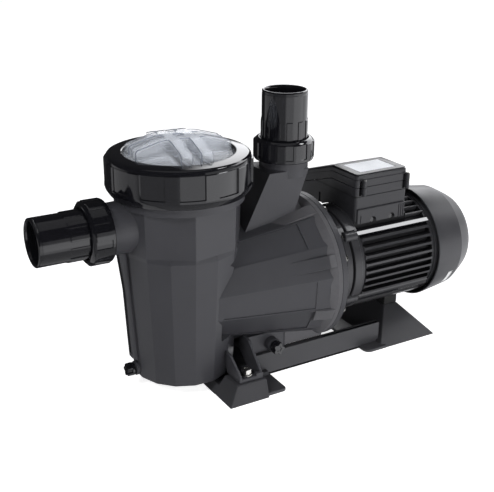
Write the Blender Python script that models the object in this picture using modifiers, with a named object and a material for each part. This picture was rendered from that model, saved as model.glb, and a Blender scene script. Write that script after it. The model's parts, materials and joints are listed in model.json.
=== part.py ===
"""A self-priming pool pump: strainer tank and volute, threaded unions, and a finned motor on a base.

The pump axis is X (suction at -X, motor at +X), Z is up, and the base stands on z = 0.
The origin is under the middle of the pump's box. Metres.
"""

from math import asin, cos, pi, radians, sin, sqrt

import bmesh
import bpy
from mathutils import Vector

# Driving dimensions.
SUCTION_REACH = 0.2024      # tank axis to the suction spigot's end
REAR_REACH = 0.4725         # tank axis to the fan cover's end
TANK_X = (SUCTION_REACH - REAR_REACH) / 2
DISCHARGE_REACH = 0.1615    # tank axis to discharge axis
DISCHARGE_X = TANK_X + DISCHARGE_REACH
DISCHARGE_TOP = 0.391
SUCTION_Z = 0.236
MOTOR_Z = 0.129
GAP = 0.0003                # left between pieces that touch

# Unions: a 63 mm spigot, its nut and the port that the nut screws on.
SPIGOT_R = 0.0315
SPIGOT_BORE = 0.026
SPIGOT_BAND_R = 0.0327
BAND_LENGTH = 0.0230
COLLAR_R = 0.0366
COLLAR_THICK = 0.0052
NUT_R = 0.0425
NUT_BORE = 0.0388
NUT_LENGTH = 0.030
NUT_LIP = 0.0068
NUT_LIP_BORE = 0.0335
NUT_FACE_TO_END = 0.0655    # nut's outer face to the spigot's end
STUB_R = 0.0372
STUB_LENGTH = 0.0150
NECK_R = 0.0340
UNION_RING_R = 0.0305
UNION_CORD_R = 0.0017
PORT_TO_END = NUT_FACE_TO_END + NUT_LIP + COLLAR_THICK + 2 * UNION_CORD_R + 3 * GAP
SUCTION_PORT = SUCTION_REACH - PORT_TO_END
DISCHARGE_PORT = DISCHARGE_TOP - PORT_TO_END

# Strainer tank, lid and ring.
TANK_BOTTOM = 0.0140
TANK_CREASE_Z = 0.198
TANK_SHOULDER_Z = 0.272      # also the ledge that the basket hangs on
TANK_CORNERS = (12.5, 35, 57.5, 80, 102.5, 125, 147.5, 170)     # degrees from +X, on each side
TANK_FLAT_CORNERS = (35, 80, 125)                               # lie on the chord in the upper band
RIM_R = 0.0862
RIM_BORE = 0.0735
CHAMBER_R = 0.0695
CHAMBER_FLOOR = 0.026
RING_R = 0.0972
RING_BORE = 0.0888
RING_BOTTOM = 0.2755
RING_TOP = 0.3275
RING_LIP = 0.0050
RING_OPENING = 0.0730
LID_FLANGE_R = 0.0795
LID_R = 0.0720
LID_BOTTOM = 0.3171
LID_CROWN = 0.3330
LID_HANDLE_TOP = 0.3470
LID_RING_R = 0.0772
LID_CORD_R = 0.0023
RIM_TOP = LID_BOTTOM - 2 * LID_CORD_R - 2 * GAP
BASKET_LEDGE = TANK_SHOULDER_Z + GAP
BASKET_TOP = TANK_SHOULDER_Z + 0.0043

# Volute casing, about the motor axis: distance from the tank axis, then corner radius.
CASING_CORNERS = tuple(9.3 + 360 / 14 * step for step in range(-3, 4))
CASING_STATIONS = ((0.0, 0.0735), (0.150, 0.0980), (0.165, 0.1000))
FLANGE_STATIONS = ((0.178, 0.1035), (0.1955, 0.1070))
DUCT_HALF_WIDTH = 0.0310
DUCT_BORE_HALF_WIDTH = 0.0240
EYE_R = 0.0268
EYE_WALL = (0.1000, 0.1060)
SPIGOT_HOLE_R = 0.0900

# Fasteners that hold the seal flange to the casing.
FLANGE_BOLTS = 8
FLANGE_BOLT_CIRCLE = 0.1000
FLANGE_BOLT_R = 0.0028
FLANGE_BOLT_HEAD_R = 0.0052
TOWER_WIDTH = 0.018
TOWER_PROFILE = ((0.110, 0.088), (0.110, 0.0925), (0.180, 0.1062), (0.194, 0.1062), (0.194, 0.088))

# Motor: distances along the axis are from the tank axis.
SEAL_FLANGE = (0.1958, 0.2045)
FRAME_SPAN = (0.2510, 0.3860)
FRAME_R = 0.0700
FRAME_BORE = 0.0630
FIN_TIP_R = 0.0800
FIN_PITCH = 0.0115
FIN_THICK = 0.0026
FIN_COUNT = 11
SHIELD_R = 0.0790
CORE_SPAN = (0.2780, 0.3580)
TIE_BOLT_HEIGHTS = (4.5 * FIN_PITCH, -3.5 * FIN_PITCH)
TIE_BOLT_CIRCLE = 0.0758
TIE_BOLT_R = 0.0022
COVER_RIM_R = 0.0862
COVER_RIM_X = 0.3890

# Terminal box.
BOX_SPAN = (0.2555, 0.3495)
BOX_NEAR_Y = -0.046
BOX_FAR_Y = 0.104
BOX_FLAT_Y = 0.015
BOX_TOP = 0.267
BOX_FAR_TOP = 0.2371
BOX_SEAM = 0.2330
BOX_EAVE_Z = 0.2015          # the underside where it stands clear of the motor
BOX_EAVE_Y = 0.0345
BOX_WALL = 0.0028
PLUG_XS = (0.2875, 0.3216)
PLUG_Z = 0.1955

# Base.
FOOT_HALF_WIDTH = 0.120
FOOT_TOP = 0.0235
SLAB_THICK = 0.005
BEAM_Y = (0.056, 0.066)
BEAM_TOP = 0.0355
REAR_HALF_WIDTH = 0.085
REAR_TOP = 0.041
SUPPORT_HALF_WIDTH = 0.031
WEB_OUTLINE = ((0.205, 0.0345), (0.2975, 0.0345), (0.2975, 0.0600))       # upright, above each beam
LUG_TOP = 0.0295
BASE_BOLT = (0.0487, 0.0943)    # along X from the tank axis, and half the spacing in Y
WASHER_THICK = 0.0016

# Drain plugs.
STRAINER_DRAIN_Z = 0.027
STRAINER_DRAIN_FACE = 0.0745    # tank axis to the boss's face
VOLUTE_DRAIN = (0.108, 0.0475)   # X from the tank axis, and height
VOLUTE_DRAIN_FACE = 0.0715      # pump's middle plane to the boss's face
DRAIN_HOLE_R = 0.0055
DRAIN_BOSS_R = 0.0100
VANE_SLANT = radians(34)        # impeller vanes lean back from the radius by this much
BORE_STEP = 0.0007              # a bore is this much narrower inside the wall than in its boss

# Rotations that turn a local +Z onto a world direction.
UP = (0, 0, 0)
ALONG_X = (0, pi / 2, 0)
AGAINST_X = (0, -pi / 2, 0)
AGAINST_Y = (pi / 2, 0, 0)


def clear_scene():
    for item in list(bpy.data.objects):
        bpy.data.objects.remove(item, do_unlink=True)


def new_collection(name):
    collection = bpy.data.collections.new(name)
    bpy.context.scene.collection.children.link(collection)
    return collection


def plastic(name, colour, roughness):
    return finish(name, colour, roughness, 0.0)


def finish(name, colour, roughness, metallic):
    material = bpy.data.materials.new(name)
    material.use_nodes = True
    shader = material.node_tree.nodes["Principled BSDF"]
    shader.inputs["Base Color"].default_value = (*colour, 1.0)
    shader.inputs["Roughness"].default_value = roughness
    shader.inputs["Metallic"].default_value = metallic
    material.diffuse_color = (*colour, 1.0)
    return material


# --- Building blocks ---------------------------------------------------------------------------


def place(name, mesh, material=None, location=(0, 0, 0), rotation=UP):
    """An object of this mesh in the part's collection."""
    item = bpy.data.objects.new(name, mesh)
    item.location = location
    item.rotation_euler = rotation
    PARTS.objects.link(item)
    if material:
        mesh.materials.append(material)
    return item


def from_bmesh(name, builder, material=None, location=(0, 0, 0), rotation=UP):
    bmesh.ops.recalc_face_normals(builder, faces=builder.faces)
    mesh = bpy.data.meshes.new(name)
    builder.to_mesh(mesh)
    builder.free()
    return place(name, mesh, material, location, rotation)


def turned(name, profile, steps, material=None, location=(0, 0, 0), rotation=UP):
    """A solid turned about its local Z from (radius, height) points, listed down the outer side.

    A profile that starts and ends at radius 0 is solid, and any other one is closed into a ring.
    """
    builder = bmesh.new()
    corners = [builder.verts.new((radius, 0, height)) for radius, height in profile]
    for first, second in zip(corners, corners[1:]):
        builder.edges.new((first, second))
    if profile[0][0] > 0:
        builder.edges.new((corners[-1], corners[0]))
    mesh = bpy.data.meshes.new(name)
    builder.to_mesh(mesh)
    builder.free()
    item = place(name, mesh, material, location, rotation)
    screw = item.modifiers.new("Turn", "SCREW")
    screw.steps = steps
    screw.render_steps = steps
    screw.use_merge_vertices = True
    screw.merge_threshold = 0.00001
    screw.use_smooth_shade = True
    return item


def tube_profile(outer, inner, low, high):
    return [(outer, high), (outer, low), (inner, low), (inner, high)]


def rod_profile(radius, low, high):
    return [(0, high), (radius, high), (radius, low), (0, low)]


def about_motor(name, profile, steps, material=None):
    """Turned about the motor axis, heights being distances along +X from the tank axis."""
    return turned(name, profile, steps, material, (TANK_X, 0, MOTOR_Z), ALONG_X)


def rod(name, radius, low, high, location, rotation=UP, steps=16, material=None):
    return turned(name, rod_profile(radius, low, high), steps, material, location, rotation)


def box(name, low, high, material=None):
    """A box between two corners, in world coordinates."""
    builder = bmesh.new()
    bmesh.ops.create_cube(builder, size=1.0)
    size = [b - a for a, b in zip(low, high)]
    middle = [(a + b) / 2 for a, b in zip(low, high)]
    bmesh.ops.scale(builder, vec=size, verts=builder.verts)
    bmesh.ops.translate(builder, vec=middle, verts=builder.verts)
    return from_bmesh(name, builder, material)


def extruded(name, outline, direction, material=None):
    """A prism: a flat outline of world points pushed along a vector."""
    builder = bmesh.new()
    face = builder.faces.new([builder.verts.new(point) for point in outline])
    grown = bmesh.ops.extrude_face_region(builder, geom=[face])["geom"]
    moved = [item for item in grown if isinstance(item, bmesh.types.BMVert)]
    bmesh.ops.translate(builder, vec=direction, verts=moved)
    return from_bmesh(name, builder, material)


def lofted(name, rings, material=None):
    """A closed skin over rings that hold equally many points."""
    builder = bmesh.new()
    rows = [[builder.verts.new(point) for point in ring] for ring in rings]
    count = len(rows[0])
    for row, following in zip(rows, rows[1:]):
        for index in range(count):
            after = (index + 1) % count
            builder.faces.new((row[index], row[after], following[after], following[index]))
    builder.faces.new(rows[0])
    builder.faces.new(rows[-1])
    return from_bmesh(name, builder, material)


def frustum(name, low, high, material=None):
    """A block with sloped sides between two rectangles, each (x0, x1, y0, y1, z)."""
    rings = []
    for x0, x1, y0, y1, z in (low, high):
        rings.append([(x0, y0, z), (x1, y0, z), (x1, y1, z), (x0, y1, z)])
    return lofted(name, rings, material)


def combine(target, operation, *tools):
    """Boolean modifiers on the target, with each tool moved to the cutters' collection."""
    for tool in tools:
        PARTS.objects.unlink(tool)
        CUTTERS.objects.link(tool)
        tool.display_type = "WIRE"
        tool.hide_render = True
        modifier = target.modifiers.new(tool.name, "BOOLEAN")
        modifier.operation = operation
        modifier.solver = "EXACT"
        modifier.object = tool
    return target


def join(target, *tools):
    return combine(target, "UNION", *tools)


def cut(target, *tools):
    return combine(target, "DIFFERENCE", *tools)


def radial_slab(name, size, along, reach, turn, slant=0.0):
    """A slab about the motor axis: its size along X, outwards and across, its middle at this reach."""
    builder = bmesh.new()
    bmesh.ops.create_cube(builder, size=1.0)
    bmesh.ops.scale(builder, vec=size, verts=builder.verts)
    middle = (TANK_X + along, reach * cos(turn), MOTOR_Z + reach * sin(turn))
    return from_bmesh(name, builder, None, middle, (turn + slant, 0, 0))


def o_ring(name, radius, cord, location, rotation, steps=24, sides=6):
    """A ring of round cord about its local Z."""
    profile = []
    for side in range(sides):
        turn = -2 * pi * side / sides
        profile.append((radius + cord * cos(turn), cord * sin(turn)))
    return turned(name, profile, steps, RUBBER, location, rotation)


def hex_bolt(name, shank_r, head_r, head_h, shank_l, location, rotation, material, sides=6):
    """A bolt whose head sits on local z = 0, with its shank below."""
    head = rod(name, head_r, 0.0, head_h, location, rotation, sides, material)
    shank = rod(name + "_shank", shank_r, -shank_l, head_h / 2, location, rotation, 10)
    return join(head, shank)


# --- Housing -----------------------------------------------------------------------------------


def tank_ring(radius, z, flat_band=False):
    """One ring of the faceted tank. In a flat band, every other corner lies on its neighbours' chord."""
    half = [Vector((radius * cos(radians(a)), radius * sin(radians(a)), z)) for a in TANK_CORNERS]
    if flat_band:
        for index, angle in enumerate(TANK_CORNERS):
            if angle in TANK_FLAT_CORNERS:
                half[index] = (half[index - 1] + half[index + 1]) / 2
    other = [Vector((point.x, -point.y, z)) for point in reversed(half)]
    return [point + Vector((TANK_X, 0, 0)) for point in half + other]


def casing_ring(along, radius, faceted):
    """One ring of the volute casing: 14 corners, with a point between each two."""
    left = [180 - elevation for elevation in CASING_CORNERS]
    corners = sorted([elevation % 360 for elevation in (*CASING_CORNERS, *left)])
    ring = []
    for index, angle in enumerate(corners):
        following = corners[(index + 1) % len(corners)] + (360 if index == len(corners) - 1 else 0)
        middle = radians((angle + following) / 2)
        short = cos(radians((following - angle) / 2)) if faceted else 1.0
        for turn, reach in ((radians(angle), radius), (middle, radius * short)):
            ring.append((TANK_X + along, -reach * cos(turn), MOTOR_Z + reach * sin(turn)))
    return ring


def bolt_towers():
    """The eight wedges on the casing that take the flange bolts, as one tool."""
    builder = bmesh.new()
    for index in range(FLANGE_BOLTS):
        turn = radians(22.5 + 45 * index)
        out = Vector((0, -cos(turn), sin(turn)))
        side = Vector((0, sin(turn), cos(turn))) * TOWER_WIDTH / 2
        axis = Vector((TANK_X, 0, MOTOR_Z))
        corners = []
        for along, radius in TOWER_PROFILE:
            corners.append(axis + Vector((along, 0, 0)) + out * radius)
        rows = [[builder.verts.new(point + shift) for point in corners] for shift in (-side, side)]
        builder.faces.new(rows[0])
        builder.faces.new(rows[1])
        for a in range(len(corners)):
            b = (a + 1) % len(corners)
            builder.faces.new((rows[0][a], rows[0][b], rows[1][b], rows[1][a]))
    return from_bmesh("bolt_towers", builder)


def leg(side):
    """The foot lug under the casing: a pad and two ribs, on the side given by -1 or 1."""
    x0, x1 = TANK_X + 0.033, TANK_X + 0.069
    y_out, y_in = side * 0.1045, side * 0.0700
    pad = box(f"leg_pad{side}", (x0, min(y_out, y_in), FOOT_TOP + GAP), (x1, max(y_out, y_in), LUG_TOP))
    ribs = []
    for index, (x, y_top, height, y_root) in enumerate(
            ((x0, 0.0765, 0.0535, 0.056), (x1 - 0.004, 0.0710, 0.0660, 0.045))):
        low = FOOT_TOP + GAP
        outline = [(x, y_out, low), (x, y_out, LUG_TOP + 0.003), (x, side * y_top, height),
                   (x, side * y_root, height + 0.003), (x, side * y_root, 0.044), (x, side * 0.070, low)]
        ribs.append(extruded(f"leg_rib{side}_{index}", outline, (0.004, 0, 0)))
    return join(pad, *ribs)


def gusset():
    """The upright web under the suction port."""
    outline = [(-0.062, 0.205), (-0.0916, 0.205), (-0.0843, 0.147), (-0.0807, 0.078),
               (-0.0787, 0.046), (-0.0700, 0.0395), (-0.060, 0.0395)]
    points = [(TANK_X + x, -0.004, z) for x, z in outline]
    return extruded("gusset", points, (0, 0.008, 0))


def discharge_duct():
    """The leaning square duct from the casing's top up to the discharge port."""
    half = DUCT_HALF_WIDTH
    low = (TANK_X + 0.074, TANK_X + 0.150, -half, half, 0.192)
    high = (TANK_X + 0.120, TANK_X + 0.184, -half, half, 0.285)
    return frustum("discharge_duct", low, high)


def port(name, face, root, location, rotation):
    """A union's threaded stub and its neck, with the bore through both."""
    return turned(name, [
        (STUB_R - 0.001, face), (STUB_R, face - 0.001), (STUB_R, face - STUB_LENGTH),
        (NECK_R, face - STUB_LENGTH), (NECK_R, root), (SPIGOT_BORE, root), (SPIGOT_BORE, face),
    ], 20, None, location, rotation)


def drain_boss(name, face, root, location, rotation):
    return turned(name, tube_profile(DRAIN_BOSS_R, DRAIN_HOLE_R, root, face), 12, None, location, rotation)


def build_housing():
    suction_axis = (TANK_X, 0, SUCTION_Z)
    discharge_axis = (DISCHARGE_X, 0, 0)
    tank_drain = (TANK_X, 0, STRAINER_DRAIN_Z)
    volute_drain = (TANK_X + VOLUTE_DRAIN[0], 0, VOLUTE_DRAIN[1])
    tank = lofted("pump_housing", [
        tank_ring(0.0640, TANK_BOTTOM),
        tank_ring(0.0700, TANK_BOTTOM + 0.0035),
        tank_ring(0.0820, TANK_CREASE_Z),
        tank_ring(0.0835, TANK_CREASE_Z + 0.006, flat_band=True),
        tank_ring(0.0845, TANK_SHOULDER_Z, flat_band=True),
    ], HOUSING)
    rim = turned("rim", tube_profile(RIM_R, RIM_BORE, TANK_SHOULDER_Z - 0.008, RIM_TOP), 28,
                 None, (TANK_X, 0, 0))
    casing = lofted("casing", [casing_ring(x, r, True) for x, r in CASING_STATIONS]
                    + [casing_ring(x, r, False) for x, r in FLANGE_STATIONS])
    belly = box("belly", (TANK_X + 0.130, -0.061, BEAM_TOP + 0.002), (TANK_X + 0.1935, 0.061, 0.0640))
    join(tank, casing, belly, bolt_towers(), discharge_duct(), gusset(), leg(-1), leg(1), rim,
         port("suction_port", SUCTION_PORT, 0.0560, suction_axis, AGAINST_X),
         port("discharge_port", DISCHARGE_PORT, 0.2790, discharge_axis, UP),
         drain_boss("tank_drain_boss", STRAINER_DRAIN_FACE, 0.0640, tank_drain, AGAINST_X),
         drain_boss("volute_drain_boss", VOLUTE_DRAIN_FACE, 0.0100, volute_drain, AGAINST_Y))

    chamber = turned("chamber", [
        (0, TANK_SHOULDER_Z + 0.008), (CHAMBER_R, TANK_SHOULDER_Z + 0.008),
        (CHAMBER_R, 0.150), (0.0610, CHAMBER_FLOOR), (0, CHAMBER_FLOOR),
    ], 28, None, (TANK_X, 0, 0))
    throat = about_motor("throat", rod_profile(0.058, 0.040, EYE_WALL[0]), 20)
    eye = about_motor("eye", rod_profile(EYE_R, 0.090, 0.120), 18)
    cavity = about_motor("cavity", [
        (0, 0.210), (SPIGOT_HOLE_R, 0.210), (SPIGOT_HOLE_R, 0.1800), (0.0845, 0.1800), (0.0845, 0.150),
        (0.0800, EYE_WALL[1]), (0, EYE_WALL[1])], 26)
    half = DUCT_BORE_HALF_WIDTH
    duct_bore = frustum("duct_bore",
                        (TANK_X + 0.0950, TANK_X + 0.1380, -half, half, 0.190),
                        (TANK_X + 0.1365, TANK_X + 0.1795, -half, half, 0.2800))
    narrow = SPIGOT_BORE - BORE_STEP
    suction_bore = rod("suction_bore", narrow, 0.030, SUCTION_PORT - 0.020, suction_axis, AGAINST_X, 18)
    discharge_bore = rod("discharge_bore", narrow, 0.2720, DISCHARGE_PORT - 0.004, discharge_axis, UP, 18)
    narrow = DRAIN_HOLE_R - BORE_STEP
    drain_hole = rod("drain_hole", narrow, 0.045, STRAINER_DRAIN_FACE - 0.002, tank_drain, AGAINST_X, 10)
    volute_hole = rod("volute_hole", narrow, -0.004, VOLUTE_DRAIN_FACE - 0.004, volute_drain, AGAINST_Y, 10)
    cut(tank, chamber, throat, eye, cavity, duct_bore, suction_bore, discharge_bore,
        drain_hole, volute_hole)
    for index in range(FLANGE_BOLTS):
        y, z = bolt_place(index)
        cut(tank, rod(f"flange_hole_{index}", FLANGE_BOLT_R + GAP, 0.1710, 0.2200,
                      (TANK_X, y, z), ALONG_X, 8))
    for side in (-1, 1):
        cut(tank, rod(f"lug_hole{side}", 0.0045, 0.010, 0.045,
                      (TANK_X + BASE_BOLT[0], side * BASE_BOLT[1], 0), UP, 8))


def bolt_place(index):
    turn = radians(22.5 + 45 * index)
    return -FLANGE_BOLT_CIRCLE * cos(turn), MOTOR_Z + FLANGE_BOLT_CIRCLE * sin(turn)


# --- Lid, ring and basket ------------------------------------------------------------------------


def build_lid():
    lid = turned("lid", [
        (0, LID_CROWN), (0.030, LID_CROWN - 0.0012), (0.055, LID_CROWN - 0.0048),
        (0.068, LID_CROWN - 0.0080), (LID_R, LID_BOTTOM + 0.0048),
        (LID_FLANGE_R, LID_BOTTOM + 0.0048), (LID_FLANGE_R, LID_BOTTOM),
        (0.0680, LID_BOTTOM), (0.0660, LID_CROWN - 0.0120), (0.054, LID_CROWN - 0.0088),
        (0.030, LID_CROWN - 0.0052), (0, LID_CROWN - 0.0040),
    ], 28, CLEAR, (TANK_X, 0, 0))
    for index in range(2):
        reach, width = (0.062, 0.014) if index == 0 else (0.014, 0.062)
        arm = frustum(f"handle_{index}",
                      (TANK_X - reach, TANK_X + reach, -width, width, LID_CROWN - 0.0072),
                      (TANK_X - 0.92 * reach, TANK_X + 0.92 * reach, -0.92 * width, 0.92 * width,
                       LID_HANDLE_TOP - 0.0004 * index))
        join(lid, arm)
    turned("lid_ring", [
        (0.0915, RING_TOP), (RING_R - 0.0010, RING_TOP - 0.0035), (RING_R, RING_TOP - 0.0070),
        (RING_R, 0.2880), (RING_R - 0.0015, 0.2840), (0.0920, RING_BOTTOM),
        (RING_BORE, RING_BOTTOM), (RING_BORE, RING_TOP - RING_LIP), (RING_OPENING, RING_TOP - RING_LIP),
        (RING_OPENING, RING_TOP),
    ], 36, GLOSS, (TANK_X, 0, 0))
    o_ring("lid_oring", LID_RING_R, LID_CORD_R, (TANK_X, 0, RIM_TOP + LID_CORD_R + GAP), UP, 28)


def build_basket():
    basket = turned("strainer_basket", [
        (0.0720, BASKET_TOP), (0.0720, BASKET_LEDGE), (0.0672, BASKET_LEDGE), (0.0672, 0.150),
        (0.0575, 0.0340), (0, 0.0340), (0, 0.0365), (0.0552, 0.0365), (0.0646, 0.150),
        (0.0646, BASKET_TOP),
    ], 32, BASKET, (TANK_X, 0, 0))
    bar = box("basket_bar", (TANK_X - 0.006, -0.0660, BASKET_LEDGE),
              (TANK_X + 0.006, 0.0660, BASKET_TOP))
    join(basket, bar)
    mouth = rod("basket_mouth", 0.0250, 0.040, 0.090, (TANK_X, 0, SUCTION_Z), AGAINST_X, 20)
    cut(basket, mouth)


# --- Unions and drain plugs ----------------------------------------------------------------------


def build_union(name, port_face, reach, location, rotation):
    """The spigot tail, its nut and its O-ring. Heights are from the local origin, outwards."""
    collar = port_face + 2 * UNION_CORD_R + 2 * GAP
    collar_top = collar + COLLAR_THICK
    nut_face = reach - NUT_FACE_TO_END
    turned(f"{name}_tail", [
        (0.0305, reach), (SPIGOT_R, reach - 0.001), (SPIGOT_R, nut_face + 0.0020 + BAND_LENGTH),
        (SPIGOT_BAND_R, nut_face + 0.0020 + BAND_LENGTH), (SPIGOT_BAND_R, collar_top),
        (COLLAR_R, collar_top), (COLLAR_R, collar), (SPIGOT_BORE, collar),
        (SPIGOT_BORE, reach - 0.004), (0.0268, reach),
    ], 28, GLOSS, location, rotation)
    turned(f"{name}_nut", [
        (NUT_R - 0.0015, nut_face), (NUT_R, nut_face - 0.0020), (NUT_R, nut_face - NUT_LENGTH + 0.0020),
        (NUT_R - 0.0015, nut_face - NUT_LENGTH), (NUT_BORE, nut_face - NUT_LENGTH),
        (NUT_BORE, nut_face - NUT_LIP), (NUT_LIP_BORE, nut_face - NUT_LIP), (NUT_LIP_BORE, nut_face),
    ], 24, GLOSS, location, rotation)
    ring = Vector(location) + outward(rotation) * (port_face + GAP + UNION_CORD_R)
    o_ring(f"{name}_oring", UNION_RING_R, UNION_CORD_R, ring, rotation, 20)


def outward(rotation):
    """The world direction that this rotation gives to a local +Z."""
    return {UP: Vector((0, 0, 1)), ALONG_X: Vector((1, 0, 0)), AGAINST_X: Vector((-1, 0, 0)),
            AGAINST_Y: Vector((0, -1, 0))}[rotation]


def build_drain_plug(name, face, location, rotation):
    """A hand plug with a five-lobed knob, and its O-ring against the boss's face."""
    plug = turned(f"{name}_plug", [
        (0, face + 0.0060), (0.0092, face + 0.0060), (0.0092, face + 0.0022), (0.0041, face + 0.0022),
        (0.0041, face - 0.010), (0, face - 0.010),
    ], 16, GLOSS, location, rotation)
    star = []
    for index in range(10):
        turn = 2 * pi * index / 10
        reach = 0.0096 if index % 2 == 0 else 0.0066
        star.append((reach * cos(turn), reach * sin(turn), face + 0.0050))
    knob = extruded(f"{name}_knob", star, (0, 0, 0.0075))
    knob.location = location
    knob.rotation_euler = rotation
    join(plug, knob)
    ring = Vector(location) + outward(rotation) * (face + 0.0011)
    o_ring(f"{name}_oring", 0.0065, 0.0008, ring, rotation, 12)


# --- Wet end internals ---------------------------------------------------------------------------


def build_hydraulics():
    about_motor("diffuser", [
        (0.0700, 0.1660), (0.0700, 0.1180), (0.0260, 0.1120), (0.0260, 0.1010), (0.0232, 0.1010),
        (0.0232, 0.1145), (0.0675, 0.1205), (0.0675, 0.1660),
    ], 24, BASKET)
    impeller = about_motor("impeller", [
        (0.0130, 0.1570), (0.0130, 0.1490), (0.0620, 0.1490), (0.0620, 0.1460), (0.0125, 0.1440),
        (0.0100, 0.1300), (0, 0.1290), (0, 0.1400), (0.0075, 0.1400), (0.0075, 0.1570),
    ], 20, BASKET)
    shroud = about_motor("front_shroud", [
        (0.0620, 0.1330), (0.0620, 0.1305), (0.0260, 0.1280), (0.0200, 0.1230), (0.0180, 0.1230),
        (0.0240, 0.1305), (0.0260, 0.1330)], 24)
    vanes = []
    for index in range(6):
        turn = 2 * pi * index / 6
        size = (0.0160, 0.0360, 0.0022)
        vanes.append(radial_slab(f"vane_{index}", size, 0.1390, 0.0400, turn, VANE_SLANT))
    join(impeller, *vanes, shroud)
    about_motor("seal_head", tube_profile(0.0170, 0.0102, 0.1660, 0.1755), 16, CARBON)
    about_motor("seal_seat", tube_profile(0.0190, 0.0125, 0.1758, 0.1840), 16, CERAMIC)
    build_spring()
    o_ring("housing_oring", 0.0870, 0.0018, (TANK_X + 0.1905, 0, MOTOR_Z), ALONG_X, 28)


def build_spring():
    """The seal's coil spring, round the shaft between the impeller hub and the seal head."""
    turns, sides, radius, wire = 3, 12, 0.0128, 0.0008
    low, high = TANK_X + 0.1582, TANK_X + 0.1648
    curve = bpy.data.curves.new("seal_spring", "CURVE")
    curve.dimensions = "3D"
    curve.bevel_depth = wire
    curve.bevel_resolution = 0
    curve.use_fill_caps = True
    spline = curve.splines.new("POLY")
    count = turns * sides
    spline.points.add(count)
    for index in range(count + 1):
        turn = 2 * pi * index / sides
        x = low + (high - low) * index / count
        spline.points[index].co = (x, radius * cos(turn), MOTOR_Z + radius * sin(turn), 1)
    curve.materials.append(STEEL)
    item = bpy.data.objects.new("seal_spring", curve)
    PARTS.objects.link(item)


def build_seal_flange():
    flange = about_motor("seal_flange", [
        (0.1070, SEAL_FLANGE[1]), (0.1070, SEAL_FLANGE[0]), (0.0887, SEAL_FLANGE[0]),
        (0.0887, 0.1927), (0.0846, 0.1927), (0.0846, 0.1882), (0.0887, 0.1882),
        (0.0887, 0.1840), (0.0720, 0.1840), (0.0700, 0.1700), (0.0240, 0.1680),
        (0.0193, 0.1680), (0.0193, 0.1843), (0.0110, 0.1843), (0.0110, 0.1900), (0.0300, 0.1900),
        (0.0300, 0.1760), (0.0640, 0.1780), (0.0800, 0.1960), (0.0800, SEAL_FLANGE[1]),
    ], 32, HOUSING)
    holes = []
    for index in range(FLANGE_BOLTS):
        y, z = bolt_place(index)
        holes.append(rod(f"seal_flange_hole_{index}", FLANGE_BOLT_R + GAP, 0.1900, 0.2200,
                         (TANK_X, y, z), ALONG_X, 8))
        hex_bolt(f"flange_bolt_{index + 1}", FLANGE_BOLT_R, FLANGE_BOLT_HEAD_R, 0.0045, 0.0320,
                 (TANK_X + SEAL_FLANGE[1] + GAP, y, z), ALONG_X, STEEL)
    cut(flange, *holes)


# --- Motor ---------------------------------------------------------------------------------------


def fin_outline():
    """The motor tube's section in (y, z) about its axis: round above and below, finned on both sides."""
    rows = [FIN_PITCH * (index - (FIN_COUNT - 1) / 2) for index in range(FIN_COUNT)]
    right = []
    for z in rows:
        for height, order in ((z - FIN_THICK / 2, 1), (z + FIN_THICK / 2, -1)):
            ends = [(sqrt(r * r - height * height), height) for r in (FRAME_R, FIN_TIP_R)]
            right += ends[::order]
    top = []
    first = asin((rows[-1] + FIN_THICK / 2) / FRAME_R)
    for step in range(1, 8):
        turn = first + (pi - 2 * first) * step / 8
        top.append((FRAME_R * cos(turn), FRAME_R * sin(turn)))
    left = [(-y, z) for y, z in reversed(right)]
    bottom = [(y, -z) for y, z in reversed(top)]
    return right + top + left + bottom


def tie_places():
    for side in (-1, 1):
        for height in TIE_BOLT_HEIGHTS:
            yield side * sqrt(TIE_BOLT_CIRCLE ** 2 - height ** 2), MOTOR_Z + height


def build_motor_case():
    outline = [(TANK_X + FRAME_SPAN[0], y, MOTOR_Z + z) for y, z in fin_outline()]
    frame = extruded("motor_frame", outline, (FRAME_SPAN[1] - FRAME_SPAN[0], 0, 0), MOTOR_PAINT)
    cut(frame, about_motor("frame_bore", rod_profile(FRAME_BORE, 0.240, 0.400), 28))
    front = about_motor("front_shield", [
        (SHIELD_R, 0.2507), (SHIELD_R, 0.2380), (0.0760, 0.2360), (0.0760, 0.2260), (0.0790, 0.2240),
        (0.0790, SEAL_FLANGE[1] + GAP), (0.0700, SEAL_FLANGE[1] + GAP), (0.0680, 0.2280),
        (0.0280, 0.2310), (0.0120, 0.2310), (0.0120, 0.2358), (0.0238, 0.2358), (0.0238, 0.2507),
    ], 28, MOTOR_PAINT)
    rear = about_motor("rear_shield", [
        (SHIELD_R, 0.3980), (SHIELD_R, 0.3863), (0.0203, 0.3863), (0.0203, 0.3960), (0.0100, 0.3960),
        (0.0100, 0.3990), (0.0300, 0.3990)], 28, MOTOR_PAINT)
    for index, (y, z) in enumerate(tie_places()):
        place_at = (TANK_X, y, z)
        hole_r = TIE_BOLT_R + GAP
        cut(front, rod(f"front_tie_hole_{index}", hole_r, 0.2370, 0.2600, place_at, ALONG_X, 8))
        cut(rear, rod(f"rear_tie_hole_{index}", hole_r, 0.3800, 0.4100, place_at, ALONG_X, 8))
        rod(f"tie_bolt_{index + 1}", TIE_BOLT_R, 0.2400, 0.3975, place_at, ALONG_X, 8, STEEL)


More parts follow.
